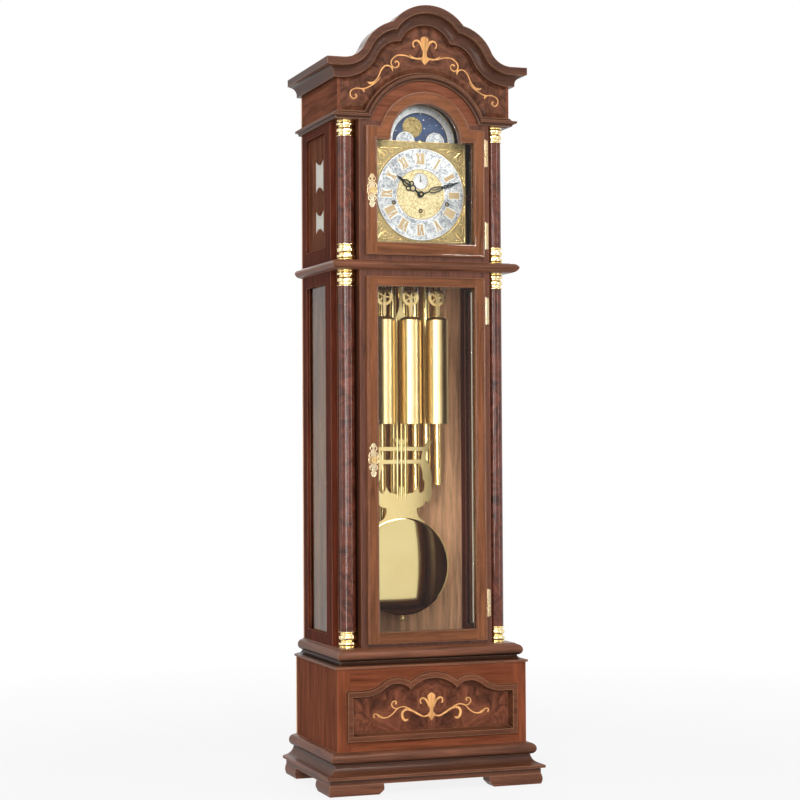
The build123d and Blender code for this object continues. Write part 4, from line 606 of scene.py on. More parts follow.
def prism(shape, corners, face, rise):
    """Flat plate that stands proud of a face."""
    loft(shape, [[shape.verts.new(at(x, face - lift, z)) for x, z in corners] for lift in (0.0, rise)])


def turned(shape, profile, x, z, face, steps=40):
    """Turned form about an axis that points forward, from (radius, rise) steps."""
    rings = []
    for radius, rise in profile:
        angles = [2 * math.pi * step / steps for step in range(steps)]
        rings.append([shape.verts.new(at(x + radius * math.cos(a), face - rise, z + radius * math.sin(a)))
                      for a in angles])
    loft(shape, rings)


def catmull(a, b, c, d, t):
    square = (2 * a - 5 * b + 4 * c - d) * t * t
    cube = (3 * b - a - 3 * c + d) * t * t * t
    return (2 * b + (c - a) * t + square + cube) / 2


def smooth(points, steps=7, closed=False):
    """Smooth curve through (x, z, width) points."""
    count = len(points)
    curve = []
    for index in range(count if closed else count - 1):
        if closed:
            near = [points[(index + step) % count] for step in (-1, 0, 1, 2)]
        else:
            near = [points[min(max(index + step, 0), count - 1)] for step in (-1, 0, 1, 2)]
        for step in range(steps):
            curve.append([catmull(*values, step / steps) for values in zip(*near)])
    if not closed:
        curve.append(list(points[-1]))
    return curve


RIDGE = ((-1.0, 0.0), (-0.8, 0.7), (0.0, 1.0), (0.8, 0.7), (1.0, 0.0))


def ribbon(shape, curve, face, rise, closed=False):
    """Raised line with a low ridge along (x, z, width) points."""
    rings = []
    count = len(curve)
    for index, (x, z, width) in enumerate(curve):
        before = curve[index - 1] if closed or index else curve[0]
        after = curve[(index + 1) % count] if closed or index + 1 < count else curve[-1]
        along = Vector((after[0] - before[0], after[1] - before[1])).normalized()
        half = max(width, THIN_LINE) / 2
        rings.append([shape.verts.new(at(x - along.y * half * u, face - rise * v, z + along.x * half * u))
                      for u, v in RIDGE])
    loft(shape, rings, closed)


def arc_line(x, z, radius, width, start=0.0, end=360.0, steps=72):
    """Points of an arc, in degrees from +X."""
    full = end - start >= 360.0
    count = steps if full else steps + 1
    angles = [math.radians(start + (end - start) * step / steps) for step in range(count)]
    return [(x + radius * math.cos(a), z + radius * math.sin(a), width) for a in angles]


def mirrored(points):
    return [(-x, z, width) for x, z, width in points]


def piece(name, shape, material, body, slot, *replaced):
    """Turns a finished shape into a named piece that rides on a body."""
    bmesh.ops.recalc_face_normals(shape, faces=shape.faces)
    mesh = bpy.data.meshes.new(name)
    shape.to_mesh(mesh)
    shape.free()
    mesh.materials.append(material)
    mesh.shade_smooth()
    mesh.set_sharp_from_angle(angle=CREASE)
    made = bpy.data.objects.new(name, mesh)
    bpy.context.scene.collection.objects.link(made)
    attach(made, body)
    if replaced:
        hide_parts(*replaced)


# Inlay of the frieze and of the base: the flower in the middle, and the scrolls of one half. Points are
# (x, z, width), above the foot of the panel
FRIEZE_FLOWER = [(0, 131, 0.5), (0, 137.5, 13), (0, 146.5, 25), (0, 153.5, 14), (0, 162.5, 11),
                 (0, 176.5, 12), (0, 189.5, 16), (0, 198.5, 22), (0, 204.5, 17), (0, 207.5, 6)]
FRIEZE_SCROLLS = [
    [(4.5, 170.5, 7), (8, 181.5, 7.5), (15, 192.5, 6.5), (25, 196, 4.5), (32.5, 190.5, 3.4),
     (33.5, 182.5, 3.4), (29.5, 177, 4.6)],
    [(6, 148.5, 6), (24.8, 146.5, 4.4), (37, 151, 3), (45, 156.5, 1)],
    [(20, 146, 2.6), (37, 147.5, 2.8), (53.5, 152.8, 3), (76.3, 153, 3.2), (92.4, 141.9, 3.6),
     (96.3, 129, 3.6), (88.5, 118.9, 3.4), (77, 122.1, 3), (74.6, 132, 3), (81, 136.7, 3.6),
     (86, 132.1, 5.6)],
    [(92.5, 108.5, 1), (93.6, 116.5, 4.4), (101, 122.5, 4), (113.5, 122, 3.2), (124.6, 110.3, 3.2),
     (133, 91.3, 3.2), (145, 76.9, 4), (155, 73.1, 7), (164, 76, 1)],
    [(127, 91.5, 1), (136, 80, 2.6), (151, 68, 2.8), (173, 57.5, 3), (196, 57.3, 3), (210.5, 49.3, 3),
     (212, 36.5, 3.2), (203, 29, 3.4), (194.5, 35, 3.4), (198.5, 41.5, 6)],
    [(184, 58, 1), (176, 55, 5), (172.5, 47, 0.8)],
]
BASE_FLOWER = [(0, 41, 0.5), (0, 48, 9), (0, 57, 21), (0, 65, 11), (0, 75, 10), (0, 87, 12),
               (0, 99, 20), (0, 107, 22), (0, 113, 12), (0, 116, 2)]
BASE_SCROLLS = [
    [(5, 77, 6.5), (8, 85, 6.5), (15.5, 97, 6), (25.5, 102, 4.4), (32, 96.5, 3.4), (29.5, 87, 4.8)],
    [(6, 57, 5), (21.6, 53, 4), (38.8, 60.6, 4.6), (56.1, 70.6, 5.4), (70.5, 74, 6), (81.5, 67.6, 6.4),
     (83, 56.4, 6.6), (76, 45.6, 6.4), (66.5, 47, 4)],
    [(52, 68.5, 1), (67.6, 78.2, 2.8), (82.1, 81.6, 3), (96.4, 77.3, 3), (107.9, 66, 3),
     (122.3, 56.4, 3), (136.8, 55, 4), (148, 60, 7), (154.5, 67, 1)],
    [(148, 60, 1), (157.2, 66, 2.8), (164.2, 63, 3), (161, 56, 4.6)],
    [(84, 81.4, 1), (102.2, 77.6, 2.8), (112.7, 87, 3), (108.6, 96.6, 3), (99.8, 95.6, 3.2),
     (101.6, 89, 5)],
]
FLOWER_RISE = 0.45
SCROLL_RISE = 0.25
SCROLL_STEP = 0.03


def inlay(name, panel, flower, scrolls):
    """Inlay a little proud of its panel, with each scroll a hair above the one before."""
    foot = extent(panel)[0].z
    lines = [(flower, FLOWER_RISE)]
    for index, scroll in enumerate(scrolls):
        rise = SCROLL_RISE + SCROLL_STEP * index
        lines += [(scroll, rise), (mirrored(scroll), rise)]
    shape = bmesh.new()
    for points, rise in lines:
        curve = [(x, foot + z, width) for x, z, width in smooth(points)]
        ribbon(shape, curve, face_of(panel), rise)
    piece(name, shape, inlay_wood, "case", "inner_wood")


inlay("frieze_inlay", "frieze_panel", FRIEZE_FLOWER, FRIEZE_SCROLLS)
inlay("base_inlay", "base_burl_panel", BASE_FLOWER, BASE_SCROLLS)

# Numerals of the dial, drawn from strokes. Letters are (width, strokes), as shares of the height
NUMERALS = ("XII", "I", "II", "III", "IIII", "V", "VI", "VII", "VIII", "IX", "X", "XI")
NUMERAL_HEIGHT = 28.0
NUMERAL_REACH = 97.0
NUMERAL_STROKE = 3.4
SERIF_SHARE = 0.055
SERIF_REACH = 1.5
STROKE_STEP = 0.004
LETTERS = {
    "I": (0.20, [(0.0, 0.0, 1.0)]),
    "V": (0.46, [(-0.16, 0.0, 1.0), (0.16, 0.0, 0.45)]),
    "X": (0.46, [(-0.16, 0.16, 1.0), (0.16, -0.16, 0.45)]),
}


def width_of(text):
    """Width of a numeral, as a share of its height."""
    return sum(LETTERS[letter][0] for letter in text)


def letter_quads(text, grow):
    """Corners of each stroke and serif, about the middle of the numeral, grown by a margin."""
    quads = []
    high = NUMERAL_HEIGHT / 2 + grow
    serif = NUMERAL_HEIGHT * SERIF_SHARE + grow
    start = -width_of(text) / 2
    for letter in text:
        advance, strokes = LETTERS[letter]
        middle = start + advance / 2
        start += advance
        for head_share, foot_share, weight in strokes:
            half = NUMERAL_STROKE * weight / 2 + grow
            head = (middle + head_share) * NUMERAL_HEIGHT
            foot = (middle + foot_share) * NUMERAL_HEIGHT
            quads.append([(head - half, high), (head + half, high),
                          (foot + half, -high), (foot - half, -high)])
            for end, level in ((head, high), (foot, -high)):
                inner = level - math.copysign(serif, level)
                left = end - (half + SERIF_REACH)
                right = end + (half + SERIF_REACH)
                quads.append([(left, level), (right, level), (right, inner), (left, inner)])
    return quads


def on_dial(hour, points, reach=NUMERAL_REACH):
    """Places points at an hour of the dial, with their foot to the centre."""
    turn = math.radians(30.0 * hour)
    placed = []
    for across, up in points:
        out = reach + up
        placed.append((out * math.sin(turn) + across * math.cos(turn),
                       DIAL_LEVEL + out * math.cos(turn) - across * math.sin(turn)))
    return placed


def numerals(name, material, grow, rise):
    """All twelve numerals, with each stroke a hair above the one before."""
    shape = bmesh.new()
    for hour, text in enumerate(NUMERALS):
        for index, quad in enumerate(letter_quads(text, grow)):
            prism(shape, on_dial(hour, quad), RING_FACE, rise + STROKE_STEP * index)
    piece(name, shape, material, "case", "brass_gilt")


CARTOUCHE_MARGIN = 3.4
CARTOUCHE_LEAST = 7.5
CARTOUCHE_HIGH = 17.0
CARTOUCHE_TAPER = 0.9
CARTOUCHE_RISE = 0.12
cartouches = bmesh.new()
for hour, text in enumerate(NUMERALS):
    wide = width_of(text) * NUMERAL_HEIGHT / 2 + CARTOUCHE_MARGIN
    head = max(wide, CARTOUCHE_LEAST)
    foot = head * CARTOUCHE_TAPER
    plate = [(-head, CARTOUCHE_HIGH), (head, CARTOUCHE_HIGH),
             (foot, -CARTOUCHE_HIGH), (-foot, -CARTOUCHE_HIGH)]
    prism(cartouches, on_dial(hour, plate), RING_FACE, CARTOUCHE_RISE)
piece("numeral_cartouches", cartouches, plain_silver, "case", "silvered")
numerals("numeral_edges", outline_brown, grow=0.7, rise=0.30)
numerals("numerals", numeral_gold, grow=0.0, rise=0.60)

# Minute dots, ticks and dots of the moon's age, and ticks of the seconds
DOT_REACH = 121.0
HOUR_DOT = 1.7
MINUTE_DOT = 0.6
DOT_TAPER = 0.7
DOT_EDGE = 0.25
DOT_RISE = 0.4
AGE_STEPS = 30
AGE_TICK = (83.0, 86.5)
AGE_WIDTH = 0.7
AGE_RISE = 0.2
AGE_DOT_REACH = 93.0
AGE_DOT = 1.5
AGE_DOT_TOP = 1.0
SECONDS_LEVEL = axis("escape_wheel_turn")[1]
SECONDS_NEAR = 18.5
SECONDS_NEAR_FIFTH = 16.5
SECONDS_FAR = 20.4
SECONDS_WIDTH = 0.4
SECONDS_RISE = 0.15


def dot(shape, radius, top, x, z):
    turned(shape, [(radius, 0.0), (radius, DOT_EDGE), (top, DOT_RISE)], x, z, RING_FACE, steps=12)


def tick(shape, level, ray, ends, width, rise):
    """Short line between two distances, along a ray (x, z) from the middle of the dial at a level."""
    ribbon(shape, [(reach * ray[0], level + reach * ray[1], width) for reach in ends], RING_FACE, rise)


marks = bmesh.new()
for minute in range(60):
    radius = HOUR_DOT if minute % 5 == 0 else MINUTE_DOT
    x, z = on_dial(minute / 5, [(0.0, 0.0)], DOT_REACH)[0]
    dot(marks, radius, radius * DOT_TAPER, x, z)
for step in range(1, AGE_STEPS):
    turn = math.pi * step / AGE_STEPS
    ray = (math.cos(turn), math.sin(turn))
    tick(marks, ARCH_LEVEL, ray, AGE_TICK, AGE_WIDTH, AGE_RISE)
    if step % 3 == 0:
        dot(marks, AGE_DOT, AGE_DOT_TOP, AGE_DOT_REACH * ray[0], ARCH_LEVEL + AGE_DOT_REACH * ray[1])
for step in range(60):
    turn = 2 * math.pi * step / 60
    near = SECONDS_NEAR if step % 5 else SECONDS_NEAR_FIFTH
    tick(marks, SECONDS_LEVEL, (math.sin(turn), math.cos(turn)), (near, SECONDS_FAR), SECONDS_WIDTH,
         SECONDS_RISE)
piece("dial_marks", marks, mark_black, "case", "hand_black")

# Black rings round the winding holes, which lie before the barrels: painted shade for the dark inside of
# each hole
HOLE_SHADE_RADIUS = 4.4
HOLE_SHADE_WIDTH = 3.4
HOLE_SHADE_RISE = 0.5
hole_shade_rings = bmesh.new()
for side in ("left", "right", "middle"):
    ring = arc_line(*axis(f"barrel_{side}_turn"), HOLE_SHADE_RADIUS, HOLE_SHADE_WIDTH, steps=32)
    ribbon(hole_shade_rings, ring, RING_FACE, HOLE_SHADE_RISE, closed=True)
piece("winding_hole_shades", hole_shade_rings, mark_black, "case", "hand_black")

# Gold rims: (x, level, radius, width, rise, degrees, steps) of the rings, the arch and its humps
SECONDS_RADIUS = 22.0
RIM_INSET = 1.2
RIMS = [
    (0.0, DIAL_LEVEL, RING_OUTER, 1.8, 1.9, 360.0, 72),
    (0.0, DIAL_LEVEL, RING_INNER, 1.8, 1.7, 360.0, 72),
    (0.0, SECONDS_LEVEL, SECONDS_RADIUS, 1.5, 1.7, 360.0, 48),
    (0.0, ARCH_LEVEL, ARCH_INNER, 1.3, 1.8, 180.0, 72),
    (0.0, ARCH_LEVEL, ARCH_OUTER - RIM_INSET, 1.3, 1.8, 180.0, 72),
    (-HUMP_OFFSET, ARCH_LEVEL, HUMP_RADIUS, 1.2, 1.7, 180.0, 36),
    (HUMP_OFFSET, ARCH_LEVEL, HUMP_RADIUS, 1.2, 1.7, 180.0, 36),
]
rims = bmesh.new()
for x, level, radius, width, rise, sweep, steps in RIMS:
    line = arc_line(x, level, radius, width, 0.0, sweep, steps)
    ribbon(rims, line, DIAL_FACE, rise, closed=sweep == 360.0)
piece("dial_rims", rims, relief_gold, "case", "brass_gilt")

# Border and cast scrolls in the corners of the dial
EDGE = 4.0
ARC_GAP = 4.5
ARC_STEPS = 24
BORDER_WIDTH = 1.4
SPANDREL_RISE = 0.8
CORNER_SCROLLS = [
    [(7, 7, 1), (12, 12, 7), (20, 20, 9), (28, 28, 5), (34, 34, 0.6)],
    [(13, 11, 3), (26, 8.5, 3), (42, 9.5, 3), (54, 14, 3), (51, 20, 3), (44, 17.5, 4)],
    [(44, 8, 1), (60, 7.5, 2.6), (76, 8.5, 2), (86, 8, 0.6)],
    [(20, 14, 2), (31, 17, 2.6), (37, 23, 2.4), (33, 28, 2.4), (28, 24, 3.4)],
]


def corner_curves():
    """Border and scrolls of one corner, from the corner inwards."""
    reach = RING_OUTER + ARC_GAP
    end = math.acos((DIAL_HALF - EDGE) / reach)
    start = math.pi / 2 - end
    border = []
    for step in range(ARC_STEPS + 1):
        turn = end + (start - end) * step / ARC_STEPS
        border.append((DIAL_HALF - reach * math.cos(turn), DIAL_HALF - reach * math.sin(turn),
                       BORDER_WIDTH))
    border.append((EDGE, EDGE, BORDER_WIDTH))
    curves = [(border, True)]
    for index, scroll in enumerate(CORNER_SCROLLS):
        curves.append((smooth(scroll), False))
        if index:
            curves.append((smooth([(z, x, width) for x, z, width in scroll]), False))
    return curves


spandrels = bmesh.new()
for side in (-1, 1):
    for end in (-1, 1):
        for curve, closed in corner_curves():
            placed = [(side * (DIAL_HALF - inward), DIAL_LEVEL + end * (DIAL_HALF - up), width)
                      for inward, up, width in curve]
            ribbon(spandrels, placed, DIAL_FACE, SPANDREL_RISE, closed)
piece("spandrel_scrolls", spandrels, relief_gold, "case", "brass_gilt")

# Light line along the top of the square, and the boss on its middle
DIVIDER_INSET = 1.0
DIVIDER_WIDTH = 1.4
DIVIDER_RISE = 0.6
BOSS_PROFILE = [(4.6, 0.0), (4.6, 0.9), (3.4, 1.6), (1.4, 1.9)]
divider = bmesh.new()
ends = [(side * (DIAL_HALF - DIVIDER_INSET), ARCH_LEVEL, DIVIDER_WIDTH) for side in (-1, 1)]
ribbon(divider, ends, RING_FACE, DIVIDER_RISE)
turned(divider, BOSS_PROFILE, 0.0, ARCH_LEVEL, RING_FACE, steps=24)
piece("dial_divider", divider, relief_gold, "case", "brass_gilt")

# Two moons, half a turn apart, and stars round them on the moon disc
MOON_FACE = face_of("moon_disc")
MOON_LEVEL = axis("moon_turn")[1]
MOON_ACROSS = 21.0
MOON_UP = 46.0
MOON_RADIUS = 28.0
MOON_PROFILE = [(MOON_RADIUS, 0.0), (MOON_RADIUS, 0.25), (MOON_RADIUS * 0.9, 0.45),
                (MOON_RADIUS * 0.5, 0.6), (0.4, 0.65)]
moon_places = [(side * MOON_ACROSS, MOON_LEVEL - side * MOON_UP) for side in (-1, 1)]
moons = bmesh.new()
for x, z in moon_places:
    turned(moons, MOON_PROFILE, x, z, MOON_FACE, steps=48)
piece("moon_pictures", moons, moon_gold, "moon", "brass_gilt")

STAR_COUNT = 60
STAR_TURN = math.radians(137.508)
STAR_NEAR = 14.0
STAR_FAR = 88.0
STAR_CLEAR = 4.0
STAR_LEAST = 1.0
STAR_STEP = 0.6
STAR_WAIST = 0.42
STAR_RISE = 0.2
stars = bmesh.new()
for index in range(STAR_COUNT):
    reach = STAR_NEAR + (STAR_FAR - STAR_NEAR) * math.sqrt((index + 0.5) / STAR_COUNT)
    x = reach * math.cos(index * STAR_TURN)
    z = MOON_LEVEL + reach * math.sin(index * STAR_TURN)
    if min(math.hypot(x - mx, z - mz) for mx, mz in moon_places) < MOON_RADIUS + STAR_CLEAR:
        continue
    size = STAR_LEAST + STAR_STEP * (index % 3)
    corners = []
    for point in range(10):
        radius = size if point % 2 == 0 else size * STAR_WAIST
        turn = math.pi * point / 5 + index
        corners.append((x + radius * math.sin(turn), z + radius * math.cos(turn)))
    prism(stars, corners, MOON_FACE, STAR_RISE)
piece("moon_stars", stars, star_white, "moon", "silvered")

# Openwork hands. Outlines run up from the hub, and each hand is turned clockwise to its place
HOUR_ANGLE = math.radians(306.0)
MINUTE_ANGLE = math.radians(72.0)
HAND_WEIGHT = 1.6
HAND_STEP = 0.03
HOUR_HUB = (4.4, 9.0)
MINUTE_HUB = (2.8, 8.5)
HOUR_LINES = [
    [(0, 7, 3.4), (0, 14, 3), (0, 19, 3)],
    [(0, 19, 2.2), (5.5, 22, 2.2), (8, 27.5, 2.2), (5, 33, 2.2), (0, 35, 2.2)],
    [(5, 33, 2), (11, 33.5, 2), (14, 38.5, 2), (10, 43.5, 2), (5, 41, 2), (3, 36.5, 2)],
    [(0, 35, 2.4), (5, 42, 2.2), (8, 51, 2.2), (4.5, 59.5, 2.4), (0, 65, 2.6)],
]
HOUR_SPINE = [(0, 33, 2), (0, 44, 3), (0, 54, 2), (0, 65, 3.4), (0, 71, 5), (0, 78, 3), (0, 84, 0.4)]
MINUTE_LINES = [
    [(0, 7, 3), (0, 15, 2.4), (0, 24, 2.4)],
    [(0, 24, 2), (4.6, 30, 2), (7, 42, 2), (5.4, 55, 2), (2.4, 64, 2), (0, 69, 2.2)],
    [(0, 69, 1.8), (3.4, 71.5, 1.8), (3.6, 75, 1.8), (0, 77.5, 1.8)],
    [(0, 77.5, 1.8), (3.6, 82, 1.8), (4.6, 88.5, 1.8), (2.6, 96, 1.8), (0, 101, 2)],
]
MINUTE_SPINE = [(0, 36, 1.4), (0, 50, 1.8), (0, 64, 1.4), (0, 101, 2.6), (0, 106, 3.4), (0, 112, 2),
                (0, 118, 0.4)]


def openwork_hand(body, lines, spine, angle, bore, hub):
    """Hand from a stem, mirrored scrolls and a spine, in place of the plain one of its body."""
    front, back = [corner.y for corner in extent(body + "_hand")]
    thick = back - front
    shape = bmesh.new()

    def draw(points, rise):
        curve = []
        for across, up, width in smooth(points):
            curve.append((across * math.cos(angle) + up * math.sin(angle),
                          DIAL_LEVEL + up * math.cos(angle) - across * math.sin(angle),
                          width * HAND_WEIGHT))
        ribbon(shape, curve, back, rise)

    for index, points in enumerate(lines):
        rise = thick - HAND_STEP * index
        draw(points, rise)
        if index:
            draw(mirrored(points), rise)
    draw(spine, thick)
    ring = arc_line(0.0, DIAL_LEVEL, (hub + bore) / 2, hub - bore, steps=36)
    ribbon(shape, ring, back, thick, closed=True)
    piece(body + "_hand_openwork", shape, hand_black, body, "hand_black", body + "_hand")


openwork_hand("hour", HOUR_LINES, HOUR_SPINE, HOUR_ANGLE, *HOUR_HUB)
openwork_hand("minute", MINUTE_LINES, MINUTE_SPINE, MINUTE_ANGLE, *MINUTE_HUB)

# Bob with a smooth dome, in the place of the plain one. Profiles are (radius, rise) from its middle plane
bob_low, bob_high = extent("pendulum_bob")
BOB_RADIUS = bob_high.x
BOB_LEVEL = bob_high.z - BOB_RADIUS
BOB_BACK = 8.5
BOB_PLANE = bob_high.y - BOB_BACK
BOB_RISE = BOB_PLANE - bob_low.y
BOB_RIM = 3.0
BOB_FLAT = 100.0
DOME_STEPS = 28
DOME_INSET = 1.0
DOME_TIP = 0.3
profile = [(0.4, -BOB_BACK), (BOB_FLAT * 0.5, -BOB_BACK + 1.2), (BOB_FLAT, -BOB_RIM),
           (BOB_RADIUS - 0.6, -BOB_RIM), (BOB_RADIUS, -BOB_RIM + 0.6), (BOB_RADIUS, BOB_RIM - 0.8),
           (BOB_RADIUS - 0.8, BOB_RIM)]
dome_height = BOB_RISE - BOB_RIM
dome_radius = (BOB_RADIUS ** 2 + dome_height ** 2) / (2 * dome_height)
for step in range(1, DOME_STEPS + 1):
    reach = (BOB_RADIUS - DOME_INSET) * (1 - step / DOME_STEPS) + DOME_TIP
    profile.append((reach, BOB_RISE - dome_radius + math.sqrt(dome_radius ** 2 - reach ** 2)))
bob = bmesh.new()
turned(bob, profile, 0.0, BOB_LEVEL, BOB_PLANE, steps=160)
piece("bob_polished", bob, bob_brass, "pendulum", "brass", "pendulum_bob")

# Rating nut under the bob, as (radius, height) steps with a knurl on its widest part
NUT_STEPS = 48
NUT_WAIST = 6.5
KNURL = 0.35
NUT_PROFILE = [(2.5, 0.0), (6.0, 0.0), (7.0, 1.0), (7.0, 9.0), (6.0, 10.0), (2.5, 10.0), (2.5, 17.5)]
nut = bmesh.new()
rings = []
for radius, up in NUT_PROFILE:
    ring = []
    for step in range(NUT_STEPS):
        turn = 2 * math.pi * step / NUT_STEPS
        reach = radius - KNURL if radius > NUT_WAIST and step % 2 else radius
        corner = at(reach * math.cos(turn), BOB_PLANE + reach * math.sin(turn), bob_low.z + up)
        ring.append(nut.verts.new(corner))
    rings.append(ring)
loft(nut, rings)
piece("rating_nut", nut, brass, "pendulum", "brass")

# Cast scrolls on the key plates, about the axis of each key
PLATE_RISE = 0.9
PLATE_SCROLLS = [
    [(1, 40, 1), (6.5, 37, 2.6), (9.5, 31, 2.6), (6, 25.5, 2.6), (2.5, 28.5, 3.4)],
    [(2, 23, 1), (9, 20, 2.6), (12.5, 12.5, 2.8), (11, 5, 2.4), (6.5, 9.5, 3)],
    [(12.5, 4, 1), (13.5, -3, 2.2), (10.5, -9, 2.6), (6, -8, 3)],
    [(3, -12, 1), (10, -16, 2.8), (9.5, -24, 2.8), (4.5, -27.5, 2.6), (3, -23, 3.4)],
    [(1, -30, 1), (6.5, -33, 2.6), (5, -39, 2), (0.8, -43, 0.8)],
]
for storey in ("hood", "trunk"):
    key_x, key_level = axis(storey + "_key_turn")
    relief = bmesh.new()
    for scroll in PLATE_SCROLLS:
        for half in (smooth(scroll), smooth(mirrored(scroll))):
            curve = [(key_x + x, key_level + z, width) for x, z, width in half]
            ribbon(relief, curve, face_of(storey + "_door_fittings"), PLATE_RISE)
    piece(storey + "_door_plate_scrolls", relief, gilt_scroll, storey + "_door", "brass_gilt")

# Beads round the doors and round their glass, and the bevelled rim of each pane
ARCH_DROP = 35.0
HOOD_SHOULDER = DOOR_ARCH_LEVEL + ARCH_DROP
HOOD_RAIL = 32.0
DOOR_ARCH = 133.0
GLASS_ARCH = DOOR_ARCH - HOOD_RAIL
BEAD_WIDTH = 3.6
BEAD_RISE = 1.6
BEVEL_WIDTH = 5.0
BEVEL_INSET = 3.0
BEVEL_RISE = 0.4


def frame_line(half, low, high, arch, width, inset):
    """Outline of a door or a pane, with an arch on its shoulders where it has one."""
    half -= inset
    line = [(-half, low + inset, width), (half, low + inset, width), (half, high - inset, width)]
    if arch:
        radius = arch - inset
        start = math.degrees(math.asin((high - inset - DOOR_ARCH_LEVEL) / radius))
        line += arc_line(0.0, DOOR_ARCH_LEVEL, radius, width, start, 180.0 - start, steps=40)
    return [*line, (-half, high - inset, width)]


def edging(name, lines, face, rise, material, body, slot):
    """Closed ribbons along outlines, as one piece."""
    shape = bmesh.new()
    for line in lines:
        ribbon(shape, line, face, rise, closed=True)
    piece(name, shape, material, body, slot)


def door_trim(body, door, glass):
    """Trim of a door, from the top and arch of its frame and of its glass."""
    frame_low, frame_high = extent(body + "_frame")
    glass_low = extent(body + "_glass")[0].z + GLASS_LAP
    door_outline = (frame_high.x, frame_low.z, *door)
    glass_outline = (GLASS_HALF, glass_low, *glass)
    beads = [frame_line(*door_outline, BEAD_WIDTH, BEAD_WIDTH),
             frame_line(*glass_outline, BEAD_WIDTH, -BEAD_WIDTH)]
    edging(body + "_beads", beads, frame_low.y, BEAD_RISE, bead_wood, body, "case_wood")
    bevel = [frame_line(*glass_outline, BEVEL_WIDTH, BEVEL_INSET)]
    edging(body + "_glass_bevel", bevel, face_of(body + "_glass"), BEVEL_RISE, glass_bevel, body, "glass")


door_trim("hood_door", (HOOD_SHOULDER, DOOR_ARCH), (HOOD_SHOULDER - HOOD_RAIL, GLASS_ARCH))
trunk_door_top = extent("trunk_door_frame")[1].z
trunk_glass_top = extent("trunk_door_glass")[1].z - GLASS_LAP
door_trim("trunk_door", (trunk_door_top, None), (trunk_glass_top, None))

# Floor: plain grey to the light, and near white to the camera, so that it meets the world unseen
FLOOR_WIDTH = 60.0
FLOOR_GREY = (0.60, 0.60, 0.60, 1.0)
FLOOR_WHITE = 0.86
FLOOR_NEAR = 1.0
FLOOR_FAR = 3.0
floor_material, tree, surface = shader("floor_white")
surface.inputs["Base Color"].default_value = FLOOR_GREY
finish(surface, 0.9)
white = node(tree, "Emission", {"Color": WHITE, "Strength": 1.0})
rays = node(tree, "LightPath").outputs
seen = maths(tree, "MAXIMUM", rays["Is Camera Ray"], rays["Is Glossy Ray"])
away = node(tree, "VectorMath", {0: place(tree)}, operation="LENGTH").outputs["Value"]
fade = rescale(tree, away, FLOOR_NEAR, FLOOR_FAR, FLOOR_WHITE, 1.0)
share = maths(tree, "MULTIPLY", seen, fade)
show(tree, node(tree, "MixShader", {0: share, 1: surface.outputs[0], 2: white.outputs[0]}))
bpy.ops.mesh.primitive_plane_add(size=FLOOR_WIDTH)
floor = bpy.context.object
floor.name = "floor"
floor.data.materials.append(floor_material)

# World: soft light, and plain white to the camera, in gloss and through glass
WORLD_LIGHT = 0.34
world = bpy.data.worlds.new("studio")
bpy.context.scene.world = world
world.use_nodes = True
sky = world.node_tree
sky.nodes.clear()
sky_output = node(sky, "OutputWorld")
rays = node(sky, "LightPath").outputs
seen = maths(sky, "MAXIMUM", rays["Is Camera Ray"], rays["Is Glossy Ray"])
seen = maths(sky, "MAXIMUM", seen, rays["Is Transmission Ray"])
soft = node(sky, "Background", {"Color": WHITE, "Strength": WORLD_LIGHT})
plain = node(sky, "Background", {"Color": WHITE, "Strength": 1.0})
sky_mix = node(sky, "MixShader", {0: seen, 1: soft.outputs[0], 2: plain.outputs[0]})
sky.links.new(sky_mix.outputs[0], sky_output.inputs["Surface"])


# Lamps, in metres and watts
def lamp(name, where, aim, size, power, gloss_only=False):
    """Rectangular lamp that looks at a point. One for gloss only adds nothing to plain colours."""
    data = bpy.data.lights.new(name, "AREA")
    data.shape = "RECTANGLE"
    data.size, data.size_y = size
    data.energy = power
    made = bpy.data.objects.new(name, data)
    made.location = where
    made.visible_diffuse = not gloss_only
    made.rotation_euler = (Vector(aim) - Vector(where)).to_track_quat("-Z", "Y").to_euler()
    bpy.context.scene.collection.objects.link(made)


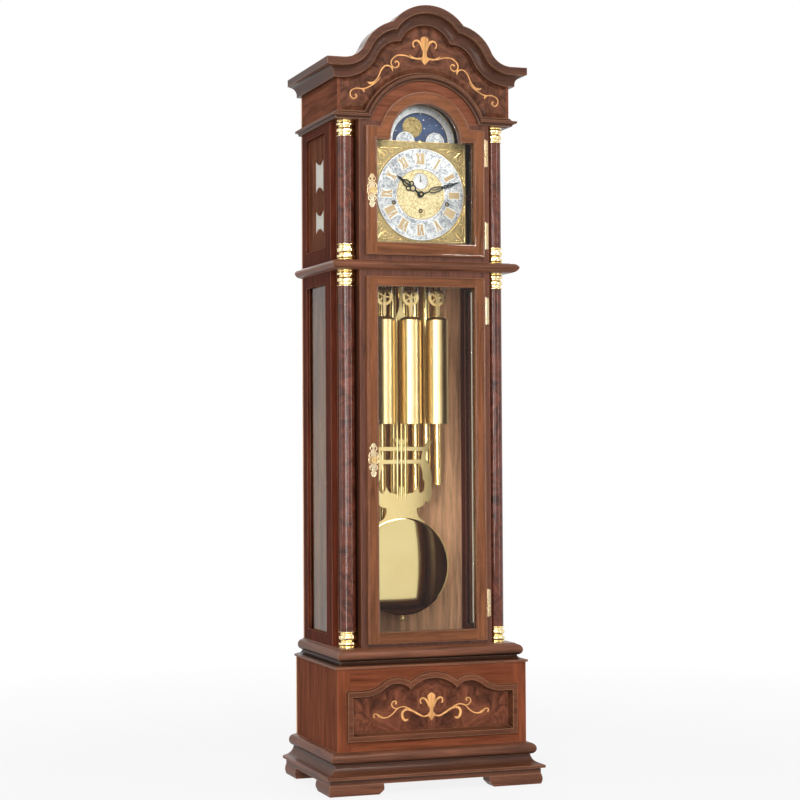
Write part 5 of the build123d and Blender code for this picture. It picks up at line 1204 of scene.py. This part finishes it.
lamp("key", (-1.9, -3.5, 1.7), (0.0, 0.0, 1.1), (0.11, 2.8), 62.0)
lamp("fill", (2.7, -2.7, 1.6), (0.0, 0.0, 1.0), (0.10, 2.8), 30.0)
lamp("front", (-0.6, -4.8, 1.3), (0.0, 0.0, 1.0), (1.4, 1.6), 38.0)
lamp("over", (-0.4, -3.1, 3.3), (0.0, 0.0, 1.5), (3.6, 0.09), 50.0)
lamp("side", (-3.4, 0.2, 1.8), (0.0, 0.0, 1.1), (0.6, 2.6), 20.0)
lamp("gloss_left", (-2.6, -3.0, 1.5), (0.0, 0.0, 1.1), (0.5, 2.9), 70.0, gloss_only=True)
lamp("gloss_high", (0.3, -2.6, 3.4), (0.0, 0.0, 1.7), (2.4, 0.7), 30.0, gloss_only=True)
lamp("back", (0.6, 3.4, 2.8), (0.0, 0.0, 1.2), (2.0, 2.0), 30.0)

# Camera fitted to the photograph, in metres and radians. Its focal length is a share of the picture's width
CAMERA_PLACE = (-1.83241, -5.13921, 0.91985)
CAMERA_YAW, CAMERA_PITCH, CAMERA_ROLL = 0.3375, 0.0222, -0.0056
CAMERA_FOCUS = 1977.4 / 800.0
SENSOR_WIDTH = 36.0
forward = Vector((math.sin(CAMERA_YAW) * math.cos(CAMERA_PITCH),
                  math.cos(CAMERA_YAW) * math.cos(CAMERA_PITCH), math.sin(CAMERA_PITCH)))
level_axis = Vector((math.cos(CAMERA_YAW), -math.sin(CAMERA_YAW), 0.0))
upward = level_axis.cross(forward)
right = level_axis * math.cos(CAMERA_ROLL) + upward * math.sin(CAMERA_ROLL)
top = upward * math.cos(CAMERA_ROLL) - level_axis * math.sin(CAMERA_ROLL)
camera_data = bpy.data.cameras.new("camera")
camera_data.sensor_width = SENSOR_WIDTH
camera_data.lens = SENSOR_WIDTH * CAMERA_FOCUS
camera = bpy.data.objects.new("camera", camera_data)
turn = Matrix((right, top, -forward)).transposed().to_4x4()
camera.matrix_world = Matrix.Translation(CAMERA_PLACE) @ turn
bpy.context.scene.collection.objects.link(camera)
bpy.context.scene.camera = camera
bpy.context.scene.view_settings.view_transform = "Standard"
